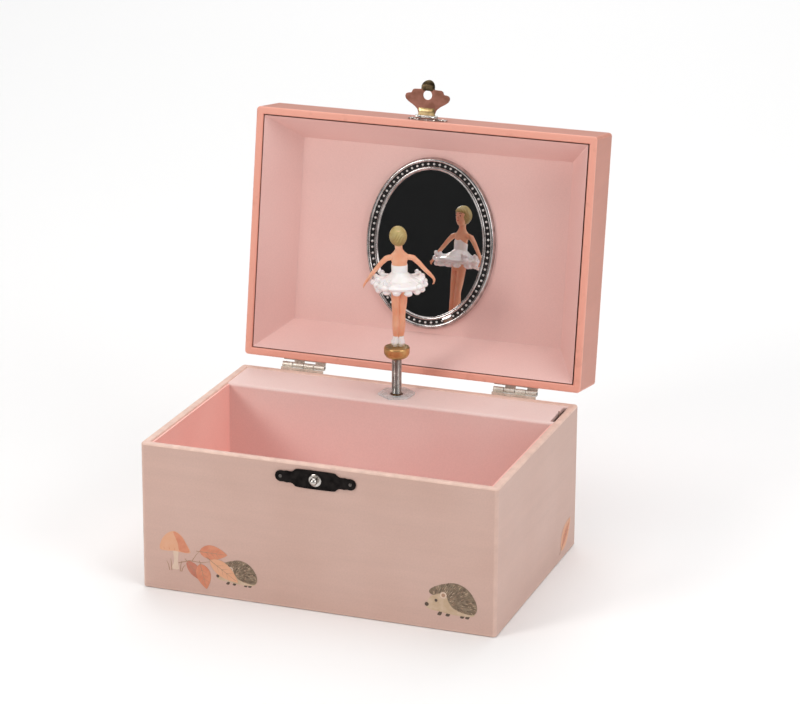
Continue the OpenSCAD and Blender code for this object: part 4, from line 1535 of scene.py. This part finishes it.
@dataclass
class Hasp:
    """Lid half of the catch: mount, nails, pin and the tongue that drops over the stud."""

    nail_mm: float = 0.9
    head_mm: float = 0.45
    reach_mm: float = 11.6
    hole_mm: float = 2.5
    thick_mm: float = 0.8
    tongue_half: tuple = ((0.0, -10.0), (2.7, -10.0), (4.4, -9.9), (4.8, -9.2), (5.2, -8.0), (6.0, -7.0),
                          (7.6, -5.7),
                          (10.0, -4.3), (11.7, -2.9), (12.4, -1.3), (11.9, 0.1), (10.6, 0.6), (9.1, 0.9),
                          (8.5, 2.1), (7.7, 2.8), (6.0, 2.95), (3.0, 3.1), (0.0, 3.1))
    lip_mm: float = 3.8
    neck_foot_mm: float = -10.7
    neck_mm: float = 3.9

    def build(self) -> None:
        """Builds and dresses mount, nails, pin and tongue."""
        fasten(softened_copy("hasp_mount", "hasp_mount_plate", 0.16), "lid", NICKEL)
        outward = opened().to_3x3() @ Vector((0, -1, 0))
        nails = heads("hasp_nail_heads", "hasp_nails", outward, self.nail_mm, self.head_mm, Drive.PLAIN,
                      NICKEL)
        fasten(nails, "lid", NICKEL)
        dress(frame["nodes"]["hasp_pin"], OILED_STEEL)
        self.tongue()

    def tongue(self) -> None:
        """Winged tongue with a hole for the stud, its bent neck, its knuckle and the lip for the thumb."""
        axis = hinge_line("hasp_hinge")
        out = opened().to_3x3() @ Vector((0, -1, 0))
        face = opened().to_3x3() @ Vector((0, 0, 1))
        place = Matrix((Vector((1, 0, 0)), out, -face)).transposed().to_4x4()
        place = Matrix.Translation(axis) @ place @ Matrix.Scale(MM, 4)
        half = self.thick_mm / 2
        shape = [(x, self.reach_mm + up) for x, up in self.tongue_half]
        obj = make_object("hasp_drop_tongue", *placed(place, stamped(shape, -half, half)))
        hole = [(self.hole_mm, -2.0), (self.hole_mm, 2.0)]
        cut(obj, placed(place @ Matrix.Translation((0, self.reach_mm, 0)), turned(hole, 40)))
        roll_edges(obj, 0.15)
        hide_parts("hasp_tongue")
        # The tongue's brown-pink is a painted reflection of the pink box.
        fasten(obj, "hasp", PINK_REFLECTION_NICKEL)
        neck = [(self.lip_mm + 1.1 - 0.5 * math.sin(t * math.pi), self.neck_foot_mm + self.neck_mm * t,
                 0.42 * math.sin(t * math.pi)) for t in np.linspace(0, 1, 14)]
        self.strip("hasp_neck_bend", place, AGED_BRASS, neck)
        rows = [(self.lip_mm, 2.3, 0.0), (self.lip_mm, 3.2, 0.0), (self.lip_mm, 4.1, -0.1)]
        for a in np.linspace(math.radians(8), math.radians(85), 12):
            up = 4.1 + self.lip_mm * math.sin(a)
            rows.append((self.lip_mm * math.cos(a), up, -0.1 - 0.1 * (up - 4.1) ** 2))
        self.strip("hasp_thumb_lip", place, SMOKED_BRASS, rows)
        across = Matrix.Rotation(math.radians(90), 4, "Y")
        roll = turned([(1.08, -2.9), (1.08, 2.9), (0.55, 2.9), (0.55, -2.9)], 32, ring=True)
        fasten(make_object("hasp_knuckle", *placed(place @ across, roll)), "hasp", NICKEL)

    def strip(self, name: str, place: Matrix, finish: Finish, rows: Sequence[tuple]) -> None:
        """Bent strip of the tongue's sheet.

        Args:
            name: the piece's name.
            place: the tongue's frame.
            finish: its finish.
            rows: half width, distance out from the hole and rise off the sheet, row by row.
        """
        loops = []
        for half_width, out, rise in rows:
            loop = []
            for a in around(24):
                x = math.copysign(abs(math.cos(a)) ** 0.35, math.cos(a)) * half_width
                z = math.copysign(abs(math.sin(a)) ** 0.6, math.sin(a)) * (self.thick_mm / 2 + 0.03)
                loop.append(Vector((x, self.reach_mm + out, rise + z)))
            loops.append(loop)
        fasten(make_object(name, *placed(place, loft(loops, caps=True))), "hasp", finish)


# ------------------------------------------------------------------ post and dancer

@dataclass
class Post:
    """Close-coiled spring that holds the dancer up."""

    wire_mm: float = 0.27
    pitch_mm: float = 0.56
    held_mm: float = 3.6
    plug_mm: float = 4.2
    into_cup_mm: float = 1.4

    def build(self) -> None:
        """Winds the spring."""
        low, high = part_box("post_spring")
        middle = centre_of("post_spring")
        tree, source, sink = new_tree("close_coil", {"Foot": "Vector", "Radius": "Float", "Height": "Float",
                                                     "Turns": "Float", "Wire": "Float", "Finish": "Material"})
        spiral = add(tree, "GeometryNodeCurveSpiral", {
            "Resolution": 20, "Rotations": source.outputs["Turns"], "Start Radius": source.outputs["Radius"],
            "End Radius": source.outputs["Radius"], "Height": source.outputs["Height"]})
        wire = add(tree, "GeometryNodeCurvePrimitiveCircle",
                   {"Resolution": 8, "Radius": source.outputs["Wire"]})
        solid = add(tree, "GeometryNodeCurveToMesh",
                    {"Curve": spiral, "Profile Curve": wire, "Fill Caps": True})
        smooth = add(tree, "GeometryNodeSetShadeSmooth", {0: solid})
        stood = add(tree, "GeometryNodeTransform", {0: smooth, "Translation": source.outputs["Foot"]})
        finish_tree(tree, source, sink, stood)
        carrier = bpy.data.objects.new("post_coil_spring", bpy.data.meshes.new("post_coil_spring"))
        bpy.context.scene.collection.objects.link(carrier)
        wire_r = self.wire_mm * MM
        tall = high.z + self.into_cup_mm * MM - low.z - 2 * wire_r
        coil = run_tree(carrier, tree, {
            "Foot": Vector((middle.x, middle.y, low.z + wire_r)), "Radius": (high.x - low.x) / 2 - wire_r,
            "Height": tall, "Turns": tall / (self.pitch_mm * MM), "Wire": wire_r,
                                        "Finish": SPRING_STEEL.material()})
        dress(coil, SPRING_STEEL)
        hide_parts("post_spring")
        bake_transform(coil)


@dataclass
class Dancer:
    """The little dancer on her cup; heights are above the floor, y is the way that she faces."""

    face_deg: float = 25.0
    waist: float = 142.6
    bodice_top: float = 149.1
    sway: tuple = ((103.0, 0.5), (112.0, 0.9), (140.0, 1.3), (154.0, 1.1), (162.0, 0.35), (170.0, 0.2))
    head: tuple = ((158.9, 2.2, 0.8, 0.8), (159.6, 1.6, 1.8, 1.9), (161.0, 0.9, 2.8, 3.0),
                   (162.8, 0.3, 3.5, 3.9),
                   (164.8, 0.0, 3.95, 4.4), (166.8, -0.1, 3.9, 4.4), (168.4, -0.2, 3.1, 3.5),
                   (169.2, -0.2, 1.6, 1.9))
    torso: tuple = ((134.0, -0.2, 4.3, 3.6), (138.0, -0.2, 4.7, 3.9), (141.5, -0.1, 4.2, 3.3),
                    (144.5, 0.0, 3.7, 2.9),
                    (147.5, 0.1, 3.75, 2.95), (150.3, 0.2, 3.95, 3.1), (152.3, 0.0, 4.5, 2.7),
                    (153.7, -0.1, 4.9, 2.2),
                    (154.9, -0.2, 4.4, 1.9), (156.0, -0.2, 3.1, 1.8), (157.4, -0.1, 2.1, 1.8))
    place: Matrix = field(init=False)

    def leaning(self, point: Vector) -> Vector:
        """Sways a point of the dancer sideways, as she stands with her hips a little to one side."""
        return point + Vector((float(np.interp(point.z, *zip(*self.sway))), 0, 0))

    def build(self) -> None:
        """Builds cup, shoes, body, dress and hair."""
        axis = hinge_line("figure_spin")
        facing = Matrix.Rotation(math.radians(self.face_deg), 4, "Z")
        self.place = Matrix.Translation((axis.x, axis.y, 0)) @ facing @ Matrix.Scale(MM, 4)
        self.cup()
        self.shoes()
        self.skin()
        self.face()
        self.bodice()
        self.tutu()
        self.hair()

    def piece(self, name: str, mesh: Mesh, finish: Finish, *nodes: str, smooth_deg: float = 180.0,
              wear: Sequence[float] | None = None, melt_mm: float = 0.0, rounds: int = 4) -> None:
        """Places one part of the dancer and dresses it.

        Args:
            name: the piece's name.
            mesh: its points and faces.
            finish: its finish.
            nodes: the CAD nodes that it stands for.
            smooth_deg: edges sharper than this stay hard.
            wear: the attribute that its finish reads, such as the hair's painted shade and highlight.
            melt_mm: if not 0, its lumps are melted together at this detail.
            rounds: passes of smoothing after melting.
        """
        points, faces = placed(self.place, ([self.leaning(p) for p in mesh[0]], mesh[1]))
        obj = make_object(name, points, faces, smooth_deg, wear)
        if melt_mm:
            fused(obj, melt_mm, rounds)
        if nodes:
            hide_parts(*nodes)
        fasten(obj, "figure", finish)

    def section(self, stations: tuple, z: float) -> tuple[float, float, float]:
        """Fore-and-aft centre and two half-widths at a height, between stations."""
        heights = [s[0] for s in stations]
        return tuple(float(np.interp(z, heights, [s[k] for s in stations])) for k in (1, 2, 3))

    def on_face(self, x: float, z: float) -> float:
        """How far forward the face is at a place."""
        middle, wide, deep = self.section(self.head, z)
        return middle + deep * math.sqrt(max(0.0, 1 - (x / wide) ** 2))

    def cup(self) -> None:
        """Gold cup with a stub that fits the spring."""
        profile = [(1.9, 93.4), (1.9, 97.9), (3.4, 97.9), (4.0, 98.0), (5.0, 98.4), (5.8, 99.0), (6.3, 99.7),
                   (6.6, 100.3), (6.68, 100.6), (6.58, 100.72), (6.58, 100.85), (6.74, 101.0), (6.8, 101.3),
                   (6.82, 103.4), (6.74, 103.8), (6.5, 104.1), (6.1, 104.22), (0.4, 104.25)]
        obj = make_object("gold_cup", *placed(self.place, turned(profile, 72)), 35)
        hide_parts("figure_cup")
        fasten(obj, "figure", GOLD)

    def shoes(self) -> None:
        """Two ballet shoes on their points, close together, with ribbon bands at the ankle."""
        parts = []
        for side in (-1, 1):
            parts.append(tube([(side * 1.5, 0.7, 105.1), (side * 1.66, 0.6, 105.8), (side * 1.72, 0.3, 106.9),
                               (side * 1.6, 0.0, 108.0), (side * 1.5, -0.2, 109.1)],
                              [(1.4, 1.4), (1.85, 2.1), (1.95, 2.4), (1.75, 2.0), (1.5, 1.65)]))
            for z in (109.5, 110.05):
                band = [(1.32, z - 0.22), (1.6, z), (1.32, z + 0.22)]
                points, faces = turned(band, 24)
                parts.append(([p + Vector((side * 1.48, -0.05, 0)) for p in points], faces))
        self.piece("ballet_shoes", joined(parts), WHITE_GLOSS, "figure_shoes", melt_mm=0.16, rounds=3)

    def skin(self) -> None:
        """Legs, body, arms, neck and head as one moulding."""
        parts = []
        for side in (-1, 1):
            leg = ((107.0, 1.3, 0.0, 1.3, 1.3), (110.0, 1.34, 0.0, 1.42, 1.45), (113.0, 1.5, -0.3, 1.7, 1.85),
                   (116.2, 1.66, -0.45, 1.88, 2.1), (119.4, 1.66, -0.1, 1.78, 1.85),
                   (121.6, 1.68, 0.2, 1.72, 1.8),
                   (124.0, 1.78, 0.15, 1.86, 1.95), (128.0, 1.95, 0.0, 2.12, 2.25),
                   (132.0, 2.02, -0.1, 2.26, 2.5),
                   (136.0, 2.1, -0.1, 2.3, 2.7))
            parts.append(tube([(side * s[1], s[2], s[0]) for s in leg], [(s[3], s[4]) for s in leg]))
        rows = []
        for z, middle, wide, deep in self.torso:
            rows.append([Vector((wide * math.cos(t), middle + deep * math.sin(t), z))
                         for t in around(32)])
        parts.append(loft(rows, caps=True))
        parts.append(tube([(0, -0.3, 155.0), (0, -0.1, 158.0), (0, 0.1, 161.5)],
                          [(2.2, 1.9), (1.95, 1.8), (2.1, 2.1)]))
        rows = []
        for z, middle, wide, deep in self.head:
            rows.append([Vector((wide * math.cos(t), middle + deep * math.sin(t), z))
                         for t in around(32)])
        parts.append(loft(rows, caps=True))
        nose = self.on_face(0, 163.0)
        parts.append(tube([(0, nose - 0.35, 164.6), (0, nose + 0.1, 163.6), (0, nose + 0.3, 162.9)],
                          [(0.25, 0.3), (0.34, 0.36), (0.46, 0.42)], 12))
        for side in (-1, 1):
            parts.append(ball((side * 3.75, -0.3, 163.9), (0.5, 0.75, 1.1), 16))
        parts += self.arm(-1, ((-5.0, -0.2, 153.2), (-7.0, 0.0, 152.6), (-9.4, 0.4, 150.2),
                               (-12.0, 0.8, 147.0),
                               (-14.6, 1.4, 143.6), (-16.8, 2.0, 140.4), (-17.9, 2.4, 138.6)),
                          (-0.42, 0.16, -0.9))
        parts += self.arm(1, ((5.0, -0.2, 153.2), (7.2, 0.0, 152.7), (10.0, 0.4, 150.0), (13.2, 0.8, 146.2),
                              (15.6, 1.5, 143.6), (17.6, 2.2, 141.3), (18.4, 2.5, 139.9)),
                          (-0.05, 0.3, -0.95))
        self.piece("dancer_body", joined(parts), SKIN, "figure_body", "figure_legs", "figure_arms",
                   melt_mm=0.19, rounds=5)

    def arm(self, side: int, path: tuple, point: tuple) -> list[Mesh]:
        """One arm with a slim hand.

        Args:
            side: -1 for her left on the near side, 1 for the other.
            path: shoulder to wrist.
            point: the way that the fingers point.

        Returns:
            The arm, the palm and the fingers.
        """
        radii = [(1.55, 1.5), (1.5, 1.45), (1.3, 1.3), (1.14, 1.12), (1.05, 1.02), (0.78, 0.8), (0.66, 0.72)]
        way = Vector(point).normalized()
        wrist = Vector(path[-1])
        across = way.cross(Vector((side, 0, 0))).normalized()
        palm = wrist + way * 0.9
        parts = [tube(path, radii), tube([wrist, palm, palm + way * 0.5],
                                         [(0.6, 0.7), (0.62, 0.95), (0.5, 0.85)], 14)]
        for k, spread in enumerate((-0.55, -0.18, 0.2, 0.56)):
            root = palm + way * 0.5 + across * spread
            length = (1.3, 1.6, 1.5, 1.2)[k]
            curl = Vector((-side * 0.35, 0, 0))
            parts.append(tube([root, root + (way + curl * 0.3) * length * 0.5, root + (way + curl) * length],
                              [(0.27, 0.27), (0.25, 0.25), (0.2, 0.2)], 10))
        thumb = palm + across * 0.75
        parts.append(tube([thumb - way * 0.3, thumb + (across * 0.6 + way) * 0.9], [(0.3, 0.3), (0.22, 0.22)],
                          10))
        return parts

    def face(self) -> None:
        """Painted eyes, brows and mouth, plain as a toy's."""
        dark = []
        for side in (-1, 1):
            x, z = side * 1.45, 164.1
            dark.append(ball((x, self.on_face(x, z) - 0.12, z), (0.5, 0.24, 0.3), 16))
            brow = [(side * 0.75, 165.3), (side * 1.45, 165.65), (side * 2.2, 165.35)]
            dark.append(tube([(u, self.on_face(u, v) - 0.05, v) for u, v in brow], [(0.12, 0.12)] * 3, 8))
        lips = [(-0.7, 161.55), (0.0, 161.45), (0.7, 161.55)]
        mouth = tube([(u, self.on_face(u, v) - 0.06, v) for u, v in lips],
                     [(0.14, 0.16), (0.24, 0.22), (0.14, 0.16)], 10)
        self.piece("face_eyes_and_brows", joined(dark), FEATURE_INK)
        self.piece("face_mouth", mouth, LIP_INK)

    def bodice(self) -> None:
        """Strapless bodice: low at the back, two soft peaks in front, with raised seams."""
        shown, hidden = [], []
        for share in (0.0, 0.2, 0.4, 0.6, 0.8, 0.93, 1.0):
            outer, inner = [], []
            for t in around(72):
                front = math.sin(t)
                peak = 0.5 * math.exp(-((abs(math.cos(t)) - 0.45) / 0.22) ** 2) if front > 0 else 0.0
                top = self.bodice_top + 1.5 * max(0.0, front) + 1.2 * peak
                z = self.waist + (top - self.waist) * share
                middle, wide, deep = self.section(self.torso, z)
                seam = 0.09 * max(0.0, math.cos(6 * t)) ** 12
                puff = (0.42 if share < 1 else 0.26) + seam
                outer.append(Vector(((wide + puff) * math.cos(t), middle + (deep + puff) * math.sin(t), z)))
                inner.append(Vector(((wide - 0.35) * math.cos(t), middle + (deep - 0.35) * math.sin(t), z)))
            shown.append(outer)
            hidden.append(inner)
        self.piece("dress_bodice", loft(shown + hidden[::-1], ring=True), WHITE_GLOSS, "figure_bodice",
                   smooth_deg=60)

    def tutu(self) -> None:
        """Moulded skirt: a bell with ribs that end in three rows of plump curled frills."""
        bell = [(3.4, 145.6), (4.3, 145.0), (6.0, 143.4), (8.5, 141.8), (11.0, 140.9), (13.0, 140.2),
                (13.9, 139.2),
                (13.4, 138.0), (11.5, 137.4), (8.0, 138.0), (4.6, 139.0), (3.4, 139.4)]
        parts = [turned(bell, 72, ring=True)]
        rng = np.random.default_rng(5)
        for count, reach, height, lift, start in ((11, 12.4, 141.1, 1.7, 0.1), (13, 13.6, 139.2, 0.5, 0.3),
                                                  (14, 12.3, 137.7, -0.9, 0.0)):
            for k in range(count):
                t = math.tau * (k + start) / count + rng.normal(0, 0.035)
                out = Vector((math.cos(t), math.sin(t), 0))
                aside = Vector((-math.sin(t), math.cos(t), 0))
                far, up = reach + rng.normal(0, 0.35), height + rng.normal(0, 0.2)
                plain = lift > 0 and abs(out.y) > 0.84
                rib = [out * 4.0 + Vector((0, 0, up + 2.6)), out * 7.5 + Vector((0, 0, up + 0.5)),
                       out * (far - 2.2) + Vector((0, 0, up - 0.1)),
                       out * far + Vector((0, 0, up + 0.4 * lift))]
                thick = 0.55 if plain else 1.0
                parts.append(tube(rib[:3] if plain else rib,
                                  [(r * thick, h * thick) for r, h in ((0.7, 0.5), (1.1, 0.8), (1.45, 1.1),
                                                                       (1.6, 1.3))][:3 if plain else 4], 14))
                if plain:
                    continue
                for sway in (-1, 1) if lift > 1 else (0,):
                    level = Vector((0, 0, up + 0.75 * lift + 0.3 * sway))
                    lobe = out * (far + 0.3) + aside * sway * 0.95 + level
                    plump = 1.3 if sway else 1.55
                    reach_out = 0.6 if sway else 1.5
                    frill = [lobe + aside * reach_out * w - out * 0.3 * w * w
                             for w in (-1.5, -0.9, 0, 0.9, 1.5)]
                    parts.append(tube(frill, [(0.3, 0.3), (0.85 * plump, 0.8 * plump), (plump, plump),
                                              (0.85 * plump, 0.8 * plump), (0.3, 0.3)], 14))
        self.piece("dress_tutu", joined(parts), WHITE_GLOSS, "figure_tutu", melt_mm=0.22, rounds=5)

    def hair(self) -> None:
        """Swept-up hair: an egg with furrows that run from the nape to the crown."""
        centre = Vector((0, -0.7, 164.75))
        wide, deep, tall = 4.55, 4.5, 5.35
        strands = 34
        rows, shade = [], []
        for a in np.linspace(-math.pi / 2 + 0.06, math.pi / 2 - 0.06, 36):
            row = []
            for t in around(strands * 6):
                sweep = t + 0.35 * math.sin(a)
                comb = math.cos(strands * sweep) * math.cos(a) ** 0.7
                swell = 1 + 0.014 * comb
                point = Vector((wide * swell * math.cos(a) * math.cos(t),
                                deep * swell * math.cos(a) * math.sin(t),
                                tall * math.sin(a)))
                if point.y > 0:
                    point.y *= 1 + 0.34 * min(1.0, max(0.0, (point.z - 0.6) / 1.5))
                taper = 1 - 0.035 * max(0.0, point.z - 0.5) if point.y < 0 else 1
                point.x, point.y = point.x * taper, point.y * taper
                row.append(centre + point)
                # Painted shade in the furrows and a painted highlight rising towards the crown.
                shade.append(0.5 + 0.5 * comb + 0.25 * math.sin(a))
            rows.append(row)
        self.piece("swept_up_hair", loft(rows, caps=True), HAIR, "figure_hair", wear=shade)


# ------------------------------------------------------------------ movement and key

@dataclass
class Movement:
    """Clockwork under the platform and the winding key behind."""

    key_hole_mm: float = 2.3
    wing_mm: float = 10.0
    wing_depth_mm: float = 4.4
    screw_mm: float = 2.0
    head_mm: float = 1.0

    def build(self) -> None:
        """Dresses the works and builds the key and the screws behind."""
        for finish, names in ((ZINC, ("movement_plate", "cylinder_bearings", "spindle_bearing",
                                      "governor_housing")),
                              (BRASS, ("spring_barrel", "pin_cylinder", "drive_spindle", "governor_wheel")),
                              (SPRING_STEEL, ("mainspring", "comb", "comb_screws", "stop_wire")),
                              (OILED_STEEL, ("winding_arbor",)), (BLACK_PLASTIC, ("governor_fly",))):
            for name in names:
                dress(frame["nodes"][name], finish)
        screws = heads("movement_screw_heads", "movement_screws", Vector((0, 1, 0)), self.screw_mm,
                       self.head_mm,
                       Drive.SLOT, NICKEL)
        fasten(screws, "case", NICKEL)
        key = softened_copy("winding_key", "butterfly_key", 0.3, 30)
        axis = hinge_line("key_turn")
        wing_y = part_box("winding_key")[1].y - self.wing_depth_mm * MM
        hole = self.key_hole_mm
        drill = [(hole + 0.5, -3.0), (hole, -0.6), (hole, 0.6), (hole + 0.5, 3.0)]
        drill = [(r * MM, z * MM) for r, z in drill]
        for side in (-1, 1):
            at = Vector((axis.x + side * self.wing_mm * MM, wing_y, axis.z))
            cut(key, placed(Matrix.Translation(at), turned(drill, 32)))
        tidy_mesh(key, 50)
        keep_flats_flat(key)
        fasten(key, "key", NICKEL)


# ------------------------------------------------------------------ studio

@dataclass
class Studio:
    """Pale floor, soft lights, the card that the mirror shows, and the camera."""

    camera_at: tuple = (0.5231, -1.3996, 0.6049)
    azimuth_deg: float = 19.78
    elevation_deg: float = 18.10
    roll_deg: float = 0.32
    lens_mm: float = 138.6
    floor_z: float = -0.0003
    card_far: float = 2.05
    card_half: float = 0.3

    def build(self) -> None:
        """Builds camera, floor, card and lights."""
        bpy.context.scene.view_settings.view_transform = "Standard"
        self.camera()
        self.floor()
        self.dark_card()
        self.light("key_softbox", (-0.85, -1.2, 0.80), 0.5, 8.3, "#fffaf6")
        self.light("right_fill", (1.6, -0.55, 0.9), 1.2, 12.4, "#ffffff")
        self.light("top_softbox", (0.0, 0.1, 2.0), 2.0, 23.0, "#ffffff")
        self.light("floor_wash", (-0.6, 2.3, 1.7), 2.4, 31.0, "#ffffff", (-0.5, 1.9, 0.0))
        world = bpy.data.worlds.new("studio_air")
        bpy.context.scene.world = world
        world.use_nodes = True
        air = world.node_tree.nodes["Background"]
        air.inputs["Color"].default_value = (1, 1, 1, 1)
        air.inputs["Strength"].default_value = 0.2

    def camera(self) -> None:
        """Camera with a slight roll, looking down on the open box."""
        az, el, roll = (math.radians(a) for a in (self.azimuth_deg, self.elevation_deg, self.roll_deg))
        ahead = Vector((-math.sin(az) * math.cos(el), math.cos(az) * math.cos(el), -math.sin(el)))
        level = Vector((math.cos(az), math.sin(az), 0))
        above = level.cross(ahead)
        right = level * math.cos(roll) + above * math.sin(roll)
        up = above * math.cos(roll) - level * math.sin(roll)
        data = bpy.data.cameras.new("product_camera")
        data.lens = self.lens_mm
        data.sensor_width = 36.0
        obj = bpy.data.objects.new("product_camera", data)
        facing = Matrix((right, up, -ahead)).transposed().to_4x4()
        obj.matrix_world = Matrix.Translation(self.camera_at) @ facing
        bpy.context.scene.collection.objects.link(obj)
        bpy.context.scene.camera = obj

    def stage_mesh(self, name: str, mesh: Mesh, colour: str) -> None:
        """A floor or card that isn't part of the object.

        Args:
            name: its name.
            mesh: its points and faces.
            colour: its paint.
        """
        obj = make_object(name, *mesh)
        obj.data.materials.append(Finish(name + "_paint", "", colour, colour, 0.8).material())

    def floor(self) -> None:
        """Pale floor just under the box."""
        z = self.floor_z
        self.stage_mesh("pale_floor", ([(-6, -4, z), (6, -4, z), (6, 8, z), (-6, 8, z)], [(0, 1, 2, 3)]),
                        "#fcfcfc")

    def dark_card(self) -> None:
        """Black card standing off in front, which is all that the mirror sees beyond the dancer."""
        out = Vector((-0.32, -0.946, 0.0)).normalized()
        side = Vector((-out.y, out.x, 0))
        half = self.card_half
        middle = Vector((0.0, 0.08, 0.0)) + out * self.card_far
        points = [middle + side * across + Vector((0, 0, up))
                  for across, up in ((-half, 0.0), (half, 0.0), (half, half), (-half, half))]
        self.stage_mesh("dark_card", (points, [(0, 1, 2, 3)]), "#060606")

    def light(self, name: str, at: tuple, size: float, power: float, colour: str,
              aim: tuple = (0, 0.03, 0.1)) -> None:
        """Square area light aimed at the box.

        Args:
            name: the light's name.
            at: where it stands.
            size: length of its side.
            power: its watts.
            colour: its colour.
            aim: the point that it faces.
        """
        data = bpy.data.lights.new(name, "AREA")
        data.size = size
        data.energy = power
        data.color = linear(colour)[:3]
        obj = bpy.data.objects.new(name, data)
        obj.location = at
        obj.rotation_euler = (Vector(aim) - Vector(at)).to_track_quat("-Z", "Y").to_euler()
        bpy.context.scene.collection.objects.link(obj)


def main() -> None:
    """Builds every sub-assembly in order."""
    logging.basicConfig(level=logging.INFO, format="%(name)s: %(message)s")
    lid = Lid()
    for part in (Studio(), Case(), Keeper(), Prints(), Hinges(), lid, Mirror(lid), Hasp(), Post(), Dancer(),
                 Movement()):
        LOG.info("building %s", type(part).__name__)
        part.build()


if __name__ == "__main__":
    main()
